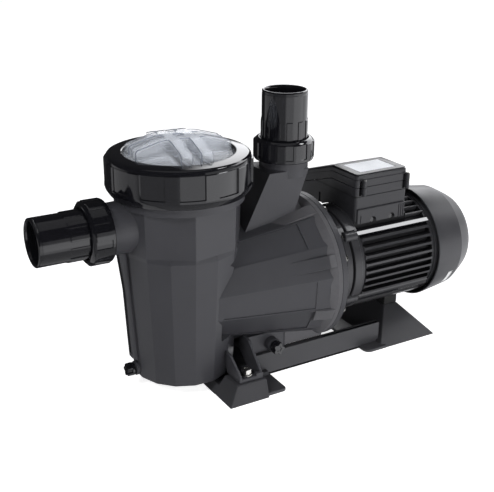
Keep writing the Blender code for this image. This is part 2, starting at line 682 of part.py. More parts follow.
def build_motor_internals():
    about_motor("shaft", [
        (0, 0.4400), (0.0060, 0.4400), (0.0060, 0.4020), (0.0082, 0.4010), (0.0082, 0.3840),
        (0.0125, 0.3830), (0.0125, 0.2560), (0.0097, 0.2550), (0.0097, 0.1580), (0.0070, 0.1570),
        (0.0070, 0.1410), (0, 0.1410),
    ], 16, STEEL)
    about_motor("front_bearing", tube_profile(0.0235, 0.0100, 0.2362, 0.2500), 20, STEEL)
    about_motor("rear_bearing", tube_profile(0.0200, 0.0085, 0.3868, 0.3955), 20, STEEL)
    about_motor("rotor_core", tube_profile(0.0368, 0.0128, *CORE_SPAN), 20, CORE)
    about_motor("stator_core", tube_profile(0.0622, 0.0374, *CORE_SPAN), 24, CORE)
    about_motor("winding_front", tube_profile(0.0590, 0.0420, 0.2600, CORE_SPAN[0] - GAP), 20, COPPER)
    about_motor("winding_rear", tube_profile(0.0590, 0.0420, CORE_SPAN[1] + GAP, 0.3760), 20, COPPER)
    about_motor("water_slinger", [
        (0.0230, 0.2180), (0.0230, 0.2165), (0.0130, 0.2130), (0.0100, 0.2130), (0.0100, 0.2200),
        (0.0130, 0.2200)], 16, RUBBER)
    fan = about_motor("fan", [
        (0.0160, 0.4360), (0.0180, 0.4080), (0.0680, 0.4060), (0.0680, 0.4040), (0.0063, 0.4040),
        (0.0063, 0.4360)], 20, BASKET)
    for index in range(7):
        turn = 2 * pi * index / 7
        join(fan, radial_slab(f"blade_{index}", (0.0270, 0.0530, 0.0020), 0.4185, 0.0420, turn))


def build_fan_cover():
    cover = about_motor("fan_cover", [
        (0.0500, REAR_REACH), (0.0610, REAR_REACH - 0.0015), (0.0673, REAR_REACH - 0.0070),
        (0.0800, 0.4385), (0.0836, 0.4140), (COVER_RIM_R, COVER_RIM_X),
        (COVER_RIM_R - 0.0022, COVER_RIM_X), (0.0778, 0.4375),
        (0.0650, REAR_REACH - 0.0085), (0.0590, REAR_REACH - 0.0035),
        (0.0070, REAR_REACH - 0.0035), (0.0070, REAR_REACH),
    ], 32, COVER)
    for index in range(10):
        turn = 2 * pi * index / 10
        size = (0.0200, 0.0340, 0.0065)
        cut(cover, radial_slab(f"cover_slot_{index}", size, REAR_REACH, 0.0330, turn))


# --- Terminal box --------------------------------------------------------------------------------


def box_prism(name, inset, low, high_near, high_far, material=None):
    """The terminal box's section, inset from its walls, pushed along X."""
    x0, x1 = TANK_X + BOX_SPAN[0] + inset, TANK_X + BOX_SPAN[1] - inset
    near, far = BOX_NEAR_Y + inset, BOX_FAR_Y - inset
    outline = [(x0, near, low), (x0, far, low), (x0, far, high_far),
               (x0, BOX_FLAT_Y, high_near), (x0, near, high_near)]
    return extruded(name, outline, (x1 - x0, 0, 0), material)


def build_terminal_box():
    base = box_prism("terminal_box", 0, 0.1790, BOX_SEAM, BOX_SEAM, COVER)
    eave = box("terminal_box_eave", (TANK_X + 0.240, BOX_EAVE_Y, 0.150), (TANK_X + 0.370, 0.130, BOX_EAVE_Z), COVER)
    raised = box("terminal_floor_eave", (TANK_X + 0.240, BOX_EAVE_Y - BOX_WALL, 0.150),
                 (TANK_X + 0.370, 0.130, BOX_EAVE_Z + BOX_WALL), COVER)
    inner = box_prism("terminal_box_inner", BOX_WALL, 0.1800, BOX_SEAM + 0.01, BOX_SEAM + 0.01)
    floor = about_motor("terminal_box_floor", rod_profile(0.0838, 0.240, 0.370), 36)
    cut(inner, floor, raised)
    saddle = about_motor("terminal_box_saddle", rod_profile(0.0808, 0.240, 0.370), 36)
    plugs = []
    for index, x in enumerate(PLUG_XS):
        plugs.append(rod(f"gland_hole_{index}", 0.0058, 0.038, 0.055,
                         (TANK_X + x, 0, PLUG_Z), AGAINST_Y, 12))
        turned(f"gland_plug_{index + 1}", [
            (0, 0.0485), (0.0062, 0.0485), (0.0068, 0.0478), (0.0068, -BOX_NEAR_Y + GAP),
            (0.0055, -BOX_NEAR_Y + GAP), (0.0055, 0.0425), (0, 0.0425),
        ], 12, GLOSS, (TANK_X + x, 0, PLUG_Z), AGAINST_Y)
    cut(base, eave, inner, saddle, *plugs)
    lid = box_prism("terminal_box_lid", 0, BOX_SEAM + 0.0014, BOX_TOP, BOX_FAR_TOP, COVER)
    hollow = box_prism("terminal_lid_inner", BOX_WALL, BOX_SEAM, BOX_TOP - BOX_WALL, BOX_FAR_TOP - 0.0015)
    cut(lid, hollow)
    seal_top = BOX_SEAM + 0.0011
    seal = box_prism("terminal_box_gasket", 0.0004, BOX_SEAM + GAP / 2, seal_top, seal_top, RUBBER)
    hole_top = BOX_SEAM + 0.0040
    cut(seal, box_prism("terminal_gasket_inner", BOX_WALL - 0.0004, BOX_SEAM - 0.0010,
                        hole_top, hole_top))
    box("terminal_block", (TANK_X + 0.2720, -0.0300, 0.2140), (TANK_X + 0.3300, -0.0080, 0.2300), CERAMIC)
    rod("run_capacitor", 0.0170, 0.2620, 0.3400, (TANK_X, 0.0520, MOTOR_Z + 0.0940), ALONG_X, 16, CAPACITOR)


# --- Base ----------------------------------------------------------------------------------------


def build_base():
    slab = FOOT_HALF_WIDTH - 0.004
    base = box("base", (TANK_X + 0.070, -slab, 0), (TANK_X + 0.101, slab, SLAB_THICK), BASE)
    pieces = [frustum("front_tie", (TANK_X + 0.0102, TANK_X + 0.098, -0.074, 0.074, 0),
                      (TANK_X + 0.0180, TANK_X + 0.098, -0.074, 0.074, 0.0110))]
    for side in (-1, 1):
        y_foot = sorted((side * FOOT_HALF_WIDTH, side * 0.0725))
        y_top = sorted((side * 0.1085, side * 0.0728))
        pieces.append(frustum(f"front_foot{side}", (TANK_X + 0.010, TANK_X + 0.071, *y_foot, 0),
                              (TANK_X + 0.027, TANK_X + 0.0725, *y_top, FOOT_TOP)))
        y_beam = sorted(side * y for y in BEAM_Y)
        pieces.append(box(f"beam{side}", (TANK_X + 0.0715, y_beam[0], 0),
                          (TANK_X + 0.298, y_beam[1], BEAM_TOP)))
        points = [(TANK_X + x, side * 0.0645, z) for x, z in WEB_OUTLINE]
        pieces.append(extruded(f"web{side}", points, (0, -side * 0.0040, 0)))
    pieces.append(box("floor_plate", (TANK_X + 0.0970, -0.0565, 0), (TANK_X + 0.205, 0.0565, 0.0035)))
    half = REAR_HALF_WIDTH
    narrow = SUPPORT_HALF_WIDTH
    pieces.append(frustum("rear_foot", (TANK_X + 0.288, TANK_X + 0.394, -half, half, 0),
                          (TANK_X + 0.334, TANK_X + 0.3585, -narrow, narrow, REAR_TOP)))
    pieces.append(box("rear_slab", (TANK_X + 0.262, -half, 0),
                      (TANK_X + 0.300, half, SLAB_THICK - 0.0004)))
    join(base, *pieces)
    for side in (-1, 1):
        y = side * BASE_BOLT[1]
        name = "near" if side < 0 else "far"
        x = TANK_X + BASE_BOLT[0]
        cut(base, rod(f"foot_hole_{name}", 0.0043, 0.006, 0.040, (x, y, 0), UP, 10))
        hex_bolt(f"base_bolt_{name}", 0.0039, 0.0072, 0.0072, 0.0220,
                 (x, y, LUG_TOP + 2 * GAP + WASHER_THICK), UP, STEEL)
        washer = tube_profile(0.0080, 0.0043, LUG_TOP + GAP, LUG_TOP + GAP + WASHER_THICK)
        turned(f"base_washer_{name}", washer, 16, STEEL, (x, y, 0))
    support = box("motor_support", (TANK_X + 0.334, -SUPPORT_HALF_WIDTH, REAR_TOP + GAP),
                  (TANK_X + 0.3585, SUPPORT_HALF_WIDTH, 0.0590), RUBBER)
    cut(support, about_motor("support_saddle", rod_profile(FIN_TIP_R + GAP, 0.320, 0.370), 48))


clear_scene()
PARTS = new_collection("pool_pump")
CUTTERS = new_collection("cutters")
HOUSING = plastic("charcoal_plastic", (0.045, 0.045, 0.050), 0.45)
GLOSS = plastic("gloss_black_plastic", (0.010, 0.010, 0.012), 0.12)
BASE = plastic("base_plastic", (0.040, 0.040, 0.044), 0.50)
COVER = plastic("cover_plastic", (0.030, 0.030, 0.034), 0.35)
BASKET = plastic("grey_plastic", (0.30, 0.31, 0.33), 0.45)
CLEAR = plastic("clear_polycarbonate", (0.85, 0.88, 0.90), 0.05)
RUBBER = plastic("black_rubber", (0.015, 0.015, 0.015), 0.80)
CERAMIC = plastic("ceramic", (0.80, 0.78, 0.72), 0.30)
CARBON = plastic("carbon_graphite", (0.06, 0.06, 0.065), 0.35)
CAPACITOR = plastic("capacitor_shell", (0.75, 0.75, 0.73), 0.40)
MOTOR_PAINT = finish("black_motor_paint", (0.012, 0.012, 0.013), 0.35, 0.3)
STEEL = finish("stainless_steel", (0.62, 0.61, 0.59), 0.28, 1.0)
CORE = finish("lamination_steel", (0.28, 0.28, 0.29), 0.45, 0.9)
COPPER = finish("winding_copper", (0.55, 0.22, 0.08), 0.40, 0.8)

build_housing()
build_lid()
build_basket()
build_union("suction", SUCTION_PORT, SUCTION_REACH, (TANK_X, 0, SUCTION_Z), AGAINST_X)
build_union("discharge", DISCHARGE_PORT, DISCHARGE_TOP, (DISCHARGE_X, 0, 0), UP)
build_drain_plug("strainer_drain", STRAINER_DRAIN_FACE,
                 (TANK_X, 0, STRAINER_DRAIN_Z + 0.0005), AGAINST_X)
build_drain_plug("volute_drain", VOLUTE_DRAIN_FACE,
                 (TANK_X + VOLUTE_DRAIN[0], 0, VOLUTE_DRAIN[1]), AGAINST_Y)
build_hydraulics()
build_seal_flange()
build_motor_case()
build_motor_internals()
build_fan_cover()
build_terminal_box()
build_base()
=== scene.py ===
"""The pool pump's looks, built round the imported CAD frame.

Metres, in the frame's axes: the pump's axis is X with the motor at +X, and Z is up. Heights of turned
pieces run along their own axis, and distances along the pump's axis are from the strainer tank's axis.
"""

import json
from math import atan2, cos, degrees, hypot, pi, radians, sin, sqrt

import bmesh
import bpy
from mathutils import Matrix, Vector


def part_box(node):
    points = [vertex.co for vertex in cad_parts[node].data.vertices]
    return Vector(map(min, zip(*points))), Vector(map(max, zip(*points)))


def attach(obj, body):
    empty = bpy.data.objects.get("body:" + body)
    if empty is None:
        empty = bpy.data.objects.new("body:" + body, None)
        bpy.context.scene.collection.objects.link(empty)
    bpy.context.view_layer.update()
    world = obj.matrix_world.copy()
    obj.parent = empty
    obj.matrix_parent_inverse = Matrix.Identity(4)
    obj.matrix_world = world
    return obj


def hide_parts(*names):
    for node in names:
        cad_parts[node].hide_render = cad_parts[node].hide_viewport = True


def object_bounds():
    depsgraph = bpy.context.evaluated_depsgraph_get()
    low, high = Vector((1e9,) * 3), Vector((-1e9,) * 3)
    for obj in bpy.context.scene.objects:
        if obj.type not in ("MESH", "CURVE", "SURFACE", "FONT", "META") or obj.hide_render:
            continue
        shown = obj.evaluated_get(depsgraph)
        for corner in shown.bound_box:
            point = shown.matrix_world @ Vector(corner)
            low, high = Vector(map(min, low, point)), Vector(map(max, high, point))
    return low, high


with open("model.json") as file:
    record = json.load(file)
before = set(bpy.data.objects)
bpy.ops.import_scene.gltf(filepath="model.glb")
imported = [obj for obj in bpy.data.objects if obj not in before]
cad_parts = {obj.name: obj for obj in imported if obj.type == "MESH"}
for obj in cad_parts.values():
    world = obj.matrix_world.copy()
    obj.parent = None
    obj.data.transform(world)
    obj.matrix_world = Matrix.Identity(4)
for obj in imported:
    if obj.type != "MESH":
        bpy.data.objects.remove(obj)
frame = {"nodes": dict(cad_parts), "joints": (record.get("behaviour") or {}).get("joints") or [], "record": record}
CAD_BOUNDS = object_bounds()

JOINTS = {joint["name"]: joint for joint in frame["joints"]}
SLOT_OF = {part["node"]: part["material_slot"] for part in frame["record"]["subparts"]}
BODY_OF = {node: body for body, nodes in frame["record"]["behaviour"]["bodies"].items() for node in nodes}
TANK_X = JOINTS["ring_turn"]["pos_m"][0]
MOTOR_Z = JOINTS["shaft_spin"]["pos_m"][2]
SUCTION_Z = JOINTS["suction_nut_turn"]["pos_m"][2]
DISCHARGE_X = JOINTS["discharge_nut_turn"]["pos_m"][0]

X, Y, Z = Vector((1, 0, 0)), Vector((0, 1, 0)), Vector((0, 0, 1))

# A basis is an origin, the axis, the direction at turn 0 and the direction at turn 90.
ABOUT_TANK = (Vector((TANK_X, 0, 0)), Z, X, Y)
ABOUT_MOTOR = (Vector((TANK_X, 0, MOTOR_Z)), X, -Y, Z)
ABOUT_SUCTION = (Vector((TANK_X, 0, SUCTION_Z)), -X, -Y, Z)
ABOUT_DISCHARGE = (Vector((DISCHARGE_X, 0, 0)), Z, X, Y)


# --- Building blocks ---------------------------------------------------------------------------


def place(basis, radius, height, turn):
    origin, along, zero, side = basis
    turn = radians(turn)
    return origin + along * height + (zero * cos(turn) + side * sin(turn)) * radius


def toward(basis, turn):
    """The direction out from the axis at this turn."""
    return place(basis, 1, 0, turn) - basis[0]


def shifted(basis, radius, turn):
    """The same axis moved sideways to this place."""
    return (place(basis, radius, 0, turn),) + basis[1:]


def to_object(name, builder, material=None):
    bmesh.ops.recalc_face_normals(builder, faces=builder.faces)
    mesh = bpy.data.meshes.new(name)
    builder.to_mesh(mesh)
    builder.free()
    item = bpy.data.objects.new(name, mesh)
    bpy.context.scene.collection.objects.link(item)
    if material:
        mesh.materials.append(material)
    return item


def bake(item):
    """Applies the modifiers."""
    bpy.context.view_layer.update()
    graph = bpy.context.evaluated_depsgraph_get()
    mesh = bpy.data.meshes.new_from_object(item.evaluated_get(graph))
    item.modifiers.clear()
    item.data = mesh
    return item


def bevelled(item, width, angle=30, segments=2, material=-1):
    """Rounds the edges sharper than an angle. The rounded part can have a material slot of its own."""
    bevel = item.modifiers.new("Bevel", "BEVEL")
    bevel.material = material
    bevel.width = width
    bevel.segments = segments
    bevel.limit_method = "ANGLE"
    bevel.angle_limit = radians(angle)
    bevel.use_clamp_overlap = True
    return bake(item)


def use_slot(item, index):
    """Gives all of a tool's faces the material slot that they take in the piece it works on."""
    item.data.polygons.foreach_set("material_index", [index] * len(item.data.polygons))


def solve(target, operation, tools):
    for tool in tools:
        modifier = target.modifiers.new(tool.name, "BOOLEAN")
        modifier.operation = operation
        modifier.solver = "EXACT"
        modifier.object = tool
    bake(target)
    for tool in tools:
        bpy.data.objects.remove(tool, do_unlink=True)
    return target


def union(target, *tools):
    return solve(target, "UNION", tools)


def cut(target, *tools):
    return solve(target, "DIFFERENCE", tools)


def smooth(item, angle=32):
    item.data.shade_smooth()
    item.data.set_sharp_from_angle(angle=radians(angle))
    weighted = item.modifiers.new("Normals", "WEIGHTED_NORMAL")
    weighted.keep_sharp = True
    return bake(item)


def shown(item, node, angle=32, body=None, extra=()):
    """Smooths a finished piece and has it stand for its CAD node."""
    smooth(item, angle)
    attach(item, body or BODY_OF[node])
    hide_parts(node, *extra)
    return item


def detail(item, body, angle=32):
    """A finished piece that has no CAD node of its own."""
    smooth(item, angle)
    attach(item, body)
    return item


def grip_depth(grips, turn):
    """How deep the surface lies at this turn, for windows set round a turned piece."""
    pitch, phase, half, wall, depth = grips
    offset = abs((turn - phase + pitch / 2) % pitch - pitch / 2)
    return depth * min(max((half - offset) / wall, 0.0), 1.0)


def grip_turns(grips, step=3.0):
    """Turns with an edge at each side of each window's walls, and at most a step apart."""
    pitch, phase, half, wall, _ = grips
    breaks = [-half, -half + wall, half - wall, half, pitch - half]
    turns = []
    for index in range(round(360 / pitch)):
        for low, high in zip(breaks, breaks[1:]):
            count = max(1, round((high - low) / step))
            turns += [phase + index * pitch + low + (high - low) * part / count for part in range(count)]
    return turns


def lathe(name, rows, basis, material=None, columns=96, grips=None):
    """A closed skin turned about a basis, from rows of (radius, height, share of the grips' depth).

    Rows that start and end at radius 0 make a solid, and any others are closed into a ring.
    """
    turns = grip_turns(grips) if grips else [360 * index / columns for index in range(columns)]
    builder = bmesh.new()
    rings = []
    for row in rows:
        radius, height = row[:2]
        share = row[2] if len(row) > 2 else 0
        if radius == 0:
            rings.append([builder.verts.new(place(basis, 0, height, 0))])
            continue
        ring = []
        for turn in turns:
            depth = grip_depth(grips, turn) * share if share else 0
            ring.append(builder.verts.new(place(basis, radius - depth, height, turn)))
        rings.append(ring)
    pairs = list(zip(rings, rings[1:]))
    if rows[0][0] > 0:
        pairs.append((rings[-1], rings[0]))
    for first, second in pairs:
        for index in range(len(turns)):
            after = (index + 1) % len(turns)
            if len(first) == 1:
                builder.faces.new((first[0], second[after], second[index]))
            elif len(second) == 1:
                builder.faces.new((first[index], first[after], second[0]))
            else:
                builder.faces.new((first[index], first[after], second[after], second[index]))
    return to_object(name, builder, material)


def rod(name, basis, radius, low, high, columns=32, material=None, edge=0.0):
    if edge:
        rows = [(0, high), (radius - edge, high), (radius, high - edge),
                (radius, low + edge), (radius - edge, low), (0, low)]
    else:
        rows = [(0, high), (radius, high), (radius, low), (0, low)]
    return lathe(name, rows, basis, material, columns)


def prism(name, outline, push, material=None):
    """A flat outline of points pushed along a vector."""
    builder = bmesh.new()
    face = builder.faces.new([builder.verts.new(point) for point in outline])
    grown = bmesh.ops.extrude_face_region(builder, geom=[face])["geom"]
    moved = [item for item in grown if isinstance(item, bmesh.types.BMVert)]
    bmesh.ops.translate(builder, vec=push, verts=moved)
    return to_object(name, builder, material)


def loft(name, rings, material=None):
    builder = bmesh.new()
    rows = [[builder.verts.new(point) for point in ring] for ring in rings]
    count = len(rows[0])
    for row, following in zip(rows, rows[1:]):
        for index in range(count):
            after = (index + 1) % count
            builder.faces.new((row[index], row[after], following[after], following[index]))
    builder.faces.new(rows[0])
    builder.faces.new(rows[-1])
    return to_object(name, builder, material)


def frustum(name, low, high, material=None):
    """A block with sloped sides between two rectangles, each (x0, x1, y0, y1, z) from the tank's axis."""
    rings = []
    for x0, x1, y0, y1, z in (low, high):
        corners = ((x0, y0), (x1, y0), (x1, y1), (x0, y1))
        rings.append([Vector((TANK_X + x, y, z)) for x, y in corners])
    return loft(name, rings, material)


def block(name, x, y, z, material=None, edge=0.0, segments=2):
    item = frustum(name, (*x, *sorted(y), z[0]), (*x, *sorted(y), z[1]), material)
    return bevelled(item, edge, 30, segments) if edge else item


def slab(name, x, y, high, radius, corners, edge=0.0010):
    """A flat plate with some of its corners rounded in plan."""
    outline = []
    for (px, py), start in (((x[0], y[0]), 180), ((x[1], y[0]), 270), ((x[1], y[1]), 0), ((x[0], y[1]), 90)):
        if start not in corners:
            outline.append((px, py))
            continue
        cx = px + radius * (1 if px == x[0] else -1)
        cy = py + radius * (1 if py == y[0] else -1)
        for step in range(7):
            turn = radians(start + 90 * step / 6)
            outline.append((cx + radius * cos(turn), cy + radius * sin(turn)))
    item = prism(name, [Vector((TANK_X + px, py, 0)) for px, py in outline], (0, 0, high))
    return bevelled(item, edge, 40) if edge else item


def flat_outline(points, y):
    """Points given as (distance along the pump, height), at one Y."""
    return [Vector((TANK_X + x, y, z)) for x, z in points]


def spiral(name, basis, radius, wire, low, high, turns, material, starts=1):
    """A screw thread's crest, as wire laid in a helix."""
    curve = bpy.data.curves.new(name, "CURVE")
    curve.dimensions = "3D"
    curve.bevel_depth = wire
    curve.bevel_resolution = 1
    curve.use_fill_caps = True
    steps = round(turns * 48)
    for start in range(starts):
        spline = curve.splines.new("POLY")
        spline.points.add(steps)
        for index in range(steps + 1):
            share = index / steps
            point = place(basis, radius, low + (high - low) * share, 360 * (start / starts + turns * share))
            spline.points[index].co = (*point, 1)
    item = bpy.data.objects.new(name, curve)
    bpy.context.scene.collection.objects.link(item)
    bpy.context.view_layer.update()
    mesh = bpy.data.meshes.new_from_object(item.evaluated_get(bpy.context.evaluated_depsgraph_get()))
    bpy.data.objects.remove(item, do_unlink=True)
    made = bpy.data.objects.new(name, mesh)
    bpy.context.scene.collection.objects.link(made)
    mesh.materials.clear()
    mesh.materials.append(material)
    return made


def hexagon(name, basis, across, low, high, material=None):
    """A bolt's head, its corners rounded off on top."""
    head = lathe(name, [(0, high), (across, high), (across, low), (0, low)], basis, material, 6)
    crown = lathe(name + "_crown", [(0, high), (across * 0.93, high), (across * 1.04, high - across * 0.16),
                                    (across * 1.04, low), (0, low)], basis, None, 36)
    return solve(head, "INTERSECT", [crown])


# --- Materials ---------------------------------------------------------------------------------


def node_of(tree, kind, **values):
    made = tree.nodes.new(kind)
    for name, value in values.items():
        made.inputs[name.replace("_", " ")].default_value = value
    return made


def surface(name, colour, roughness, metallic=0.0, mottle=0.2, scale=40.0, grain=0.1, fine=1500.0,
            spread=0.06, stretch=(1, 1, 1), coat=0.0, level=0.35):
    """A surface whose colour and gloss wander a little, with a fine grain raised on it."""
    made = bpy.data.materials.new(name)
    made.use_nodes = True
    tree = made.node_tree
    shader = tree.nodes["Principled BSDF"]
    shader.inputs["Metallic"].default_value = metallic
    shader.inputs["Coat Weight"].default_value = coat
    shader.inputs["Coat Roughness"].default_value = 0.08
    shader.inputs["Specular IOR Level"].default_value = level
    coords = tree.nodes.new("ShaderNodeTexCoord")
    mapping = node_of(tree, "ShaderNodeMapping", Scale=stretch)
    tree.links.new(coords.outputs["Object"], mapping.inputs["Vector"])
    broad = node_of(tree, "ShaderNodeTexNoise", Scale=scale, Detail=5.0, Roughness=0.6)
    small = node_of(tree, "ShaderNodeTexNoise", Scale=fine, Detail=3.0, Roughness=0.55)
    for noise in (broad, small):
        tree.links.new(mapping.outputs["Vector"], noise.inputs["Vector"])
    mix = tree.nodes.new("ShaderNodeMix")
    mix.data_type = "RGBA"
    mix.inputs["A"].default_value = (*[value * (1 - mottle) for value in colour], 1)
    mix.inputs["B"].default_value = (*[min(1, value * (1 + mottle)) for value in colour], 1)
    tree.links.new(broad.outputs["Fac"], mix.inputs["Factor"])
    tree.links.new(mix.outputs["Result"], shader.inputs["Base Color"])
    reach = node_of(tree, "ShaderNodeMapRange")
    reach.inputs["From Min"].default_value = 0.3
    reach.inputs["From Max"].default_value = 0.7
    reach.inputs["To Min"].default_value = max(0.0, roughness - spread)
    reach.inputs["To Max"].default_value = roughness + spread
    tree.links.new(broad.outputs["Fac"], reach.inputs["Value"])
    tree.links.new(reach.outputs["Result"], shader.inputs["Roughness"])
    if grain:
        bump = node_of(tree, "ShaderNodeBump", Strength=grain, Distance=0.0003)
        tree.links.new(small.outputs["Fac"], bump.inputs["Height"])
        tree.links.new(bump.outputs["Normal"], shader.inputs["Normal"])
    return made


def clear_surface(name, colour, opacity):
    """A thin, slightly milky clear plastic that light passes straight through."""
    made = surface(name, colour, 0.08, mottle=0.04, scale=25, grain=0.0, spread=0.02)
    shader = made.node_tree.nodes["Principled BSDF"]
    shader.inputs["Alpha"].default_value = opacity
    return made


def label_surface(name, colour, ink, lines):
    """A plate with rows of faint blocks in place of print."""
    made = surface(name, colour, 0.34, metallic=0.2, mottle=0.05, grain=0.03)
    tree = made.node_tree
    mix = [item for item in tree.nodes if item.type == "MIX"][0]
    coords = [item for item in tree.nodes if item.type == "TEX_COORD"][0]
    brick = node_of(tree, "ShaderNodeTexBrick", Scale=lines)
    brick.inputs["Color1"].default_value = (*colour, 1)
    brick.inputs["Color2"].default_value = (*[c * 0.82 + i * 0.18 for c, i in zip(colour, ink)], 1)
    brick.inputs["Mortar"].default_value = (*[c * 0.7 + i * 0.3 for c, i in zip(colour, ink)], 1)
    brick.inputs["Mortar Size"].default_value = 0.03
    tree.links.new(coords.outputs["Generated"], brick.inputs["Vector"])
    tree.links.new(brick.outputs["Color"], mix.inputs["B"])
    tree.links.new(brick.outputs["Color"], mix.inputs["A"])
    return made


HOUSING = surface("housing_plastic", (0.036, 0.036, 0.041), 0.42, mottle=0.16, scale=28, grain=0.10)
FLANGE = surface("housing_plastic_flow", (0.074, 0.073, 0.079), 0.60, mottle=0.28, scale=170, grain=0.2,
                 spread=0.10)
GLOSS = surface("gloss_plastic", (0.0050, 0.0050, 0.0065), 0.07, mottle=0.3, scale=60, grain=0.012,
                fine=220, spread=0.03, level=0.62)
BASE = surface("base_plastic", (0.040, 0.040, 0.044), 0.48, mottle=0.15, scale=30, grain=0.12)
COVER = surface("cover_plastic", (0.033, 0.033, 0.037), 0.34, mottle=0.10, scale=24, grain=0.06)
BOX = surface("terminal_box_plastic", (0.022, 0.022, 0.025), 0.34, mottle=0.10, scale=24, grain=0.06)
GREY = surface("grey_plastic", (0.30, 0.31, 0.33), 0.42, mottle=0.10, scale=40, grain=0.08)
PALE = surface("pale_basket_plastic", (0.66, 0.68, 0.70), 0.38, mottle=0.06, scale=40, grain=0.05)
RUBBER = surface("black_rubber", (0.013, 0.013, 0.013), 0.72, mottle=0.3, scale=120, grain=0.2)
CERAMIC = surface("pale_ceramic", (0.76, 0.74, 0.68), 0.22, mottle=0.05, scale=60, grain=0.02)
CARBON = surface("carbon_graphite", (0.05, 0.05, 0.055), 0.30, mottle=0.25, scale=200, grain=0.05)
SHELL = surface("capacitor_shell", (0.70, 0.70, 0.68), 0.36, mottle=0.05, scale=40, grain=0.04)
PAINT = surface("motor_paint", (0.028, 0.028, 0.031), 0.36, mottle=0.20, scale=90, grain=0.10,
                fine=900, coat=0.15)
STEEL = surface("stainless_steel", (0.60, 0.59, 0.56), 0.24, metallic=1.0, mottle=0.12, scale=300,
                grain=0.06)
# Painted shade: a near-black copy of the motor paint for the fins' sides and the frame between them, standing in
# for the shade deep in the gaps.
FIN_GAP_PAINTED_SHADE = surface("motor_paint_between_fins", (0.008, 0.008, 0.009), 0.60, mottle=0.2, scale=90,
              grain=0.1, fine=900)
CORE = surface("lamination_steel", (0.26, 0.26, 0.27), 0.42, metallic=0.9, mottle=0.25, scale=30,
               grain=0.4, fine=900, stretch=(20, 1, 1))
COPPER = surface("winding_copper", (0.50, 0.19, 0.07), 0.34, metallic=0.8, mottle=0.35, scale=90,
                 grain=0.5, fine=260, stretch=(6, 1, 1))
CLEAR = clear_surface("clear_polycarbonate", (0.84, 0.88, 0.95), 0.20)
# Painted shade: a dark, nearly opaque copy of the clear plastic for the ribs' rounded edges, standing in for the
# dark lines that refraction draws along a clear part's edges.
CLEAR_PAINTED_EDGE_SHADE = clear_surface("clear_polycarbonate_edge", (0.20, 0.215, 0.25), 0.95)
PLATE = label_surface("rating_plate", (0.62, 0.64, 0.67), (0.25, 0.27, 0.30), 12.0)
STICKER = label_surface("plain_sticker", (0.80, 0.80, 0.80), (0.35, 0.35, 0.36), 8.0)
BY_SLOT = {
    "housing": HOUSING, "gloss_black": GLOSS, "base_plastic": BASE, "cover_plastic": COVER,
    "grey_plastic": GREY, "clear": CLEAR, "rubber": RUBBER, "ceramic": CERAMIC, "carbon": CARBON,
    "capacitor_shell": SHELL, "motor_paint": PAINT, "steel": STEEL, "laminations": CORE,
    "windings": COPPER,
}
for node, item in frame["nodes"].items():
    item.data.materials.clear()
    item.data.materials.append(BY_SLOT[SLOT_OF[node]])
    item.data.shade_smooth()
    item.data.set_sharp_from_angle(angle=radians(32))


# --- Camera ------------------------------------------------------------------------------------

CAMERA_AT = Vector((TANK_X - 0.483898, -0.999066, 0.630491))
CAMERA_RIGHT = Vector((0.863401, -0.504466, 0.007286))
CAMERA_UP = Vector((0.179156, 0.320066, 0.930301))
CAMERA_LENS = 64.366

camera_data = bpy.data.cameras.new("camera")
camera_data.lens = CAMERA_LENS
camera_data.sensor_width = 36.0
camera = bpy.data.objects.new("camera", camera_data)
turn = Matrix((CAMERA_RIGHT, CAMERA_UP, CAMERA_RIGHT.cross(CAMERA_UP))).transposed()
camera.matrix_world = Matrix.Translation(CAMERA_AT) @ turn.to_4x4()
bpy.context.scene.collection.objects.link(camera)
bpy.context.scene.camera = camera


# --- Housing -----------------------------------------------------------------------------------

TANK_CORNERS = (12.5, 35, 57.5, 80, 102.5, 125, 147.5, 170)
TANK_FLAT_CORNERS = (35, 80, 125)
CASING_CORNERS = tuple(9.3 + 360 / 14 * step for step in range(-3, 4))
SUCTION_PORT = abs(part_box("suction_oring")[1].x - TANK_X) - 0.0003
DISCHARGE_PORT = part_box("discharge_oring")[0].z - 0.0003
RIM_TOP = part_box("lid_oring")[0].z - 0.0003
BODY = "pump"
LUG_LOW = 0.0238          # the foot lugs' underside and top
LUG_TOP = 0.0295
DRAIN_FACE = 0.0745       # the strainer's drain boss, out from the tank's axis
VOLUTE_DRAIN_FACE = 0.0715
FLANGE_BOLT_CIRCLE = 0.1000
# The casing's mottled band: where it starts and ends along the pump, its inside radius and its top.
FLOW_START, FLOW_END, FLOW_INSIDE, FLOW_TOP = 0.1545, 0.1965, 0.094, 0.2345
# The sunk facets: turns of the two edges, and how far along the pump they reach.
SUNK_FACETS = ((35.0, 60.7, 0.1540), (-16.4, 9.3, 0.1590), (-42.1, -16.4, 0.1590))
SUNK_START, SUNK_DEPTH = 0.025, 0.0014
DRAIN_TANK = (Vector((TANK_X, 0, JOINTS["strainer_drain_turn"]["pos_m"][2])), -X, Y, Z)
VOLUTE_DRAIN_AT = JOINTS["volute_drain_turn"]["pos_m"]
DRAIN_VOLUTE = (Vector((VOLUTE_DRAIN_AT[0], 0, VOLUTE_DRAIN_AT[2])), -Y, X, Z)


def tank_ring(radius, z, flat_band=False):
    half = [place(ABOUT_TANK, radius, z, angle) for angle in TANK_CORNERS]
    if flat_band:
        for index, angle in enumerate(TANK_CORNERS):
            if angle in TANK_FLAT_CORNERS:
                half[index] = (half[index - 1] + half[index + 1]) / 2
    return half + [Vector((point.x, -point.y, z)) for point in reversed(half)]


def casing_radius(along):
    """How far the casing's corners are from the motor's axis."""
    return 0.0735 + 0.1634 * along


def casing_ring(along):
    radius = casing_radius(along)
    angles = sorted([a % 360 for a in (*CASING_CORNERS, *(180 - a for a in CASING_CORNERS))])
    return [place(ABOUT_MOTOR, radius, along, angle) for angle in angles]


def flange_bolt_turn(index):
    """Eight bolts, evenly spaced about the motor's axis."""
    return 22.5 + 45 * index


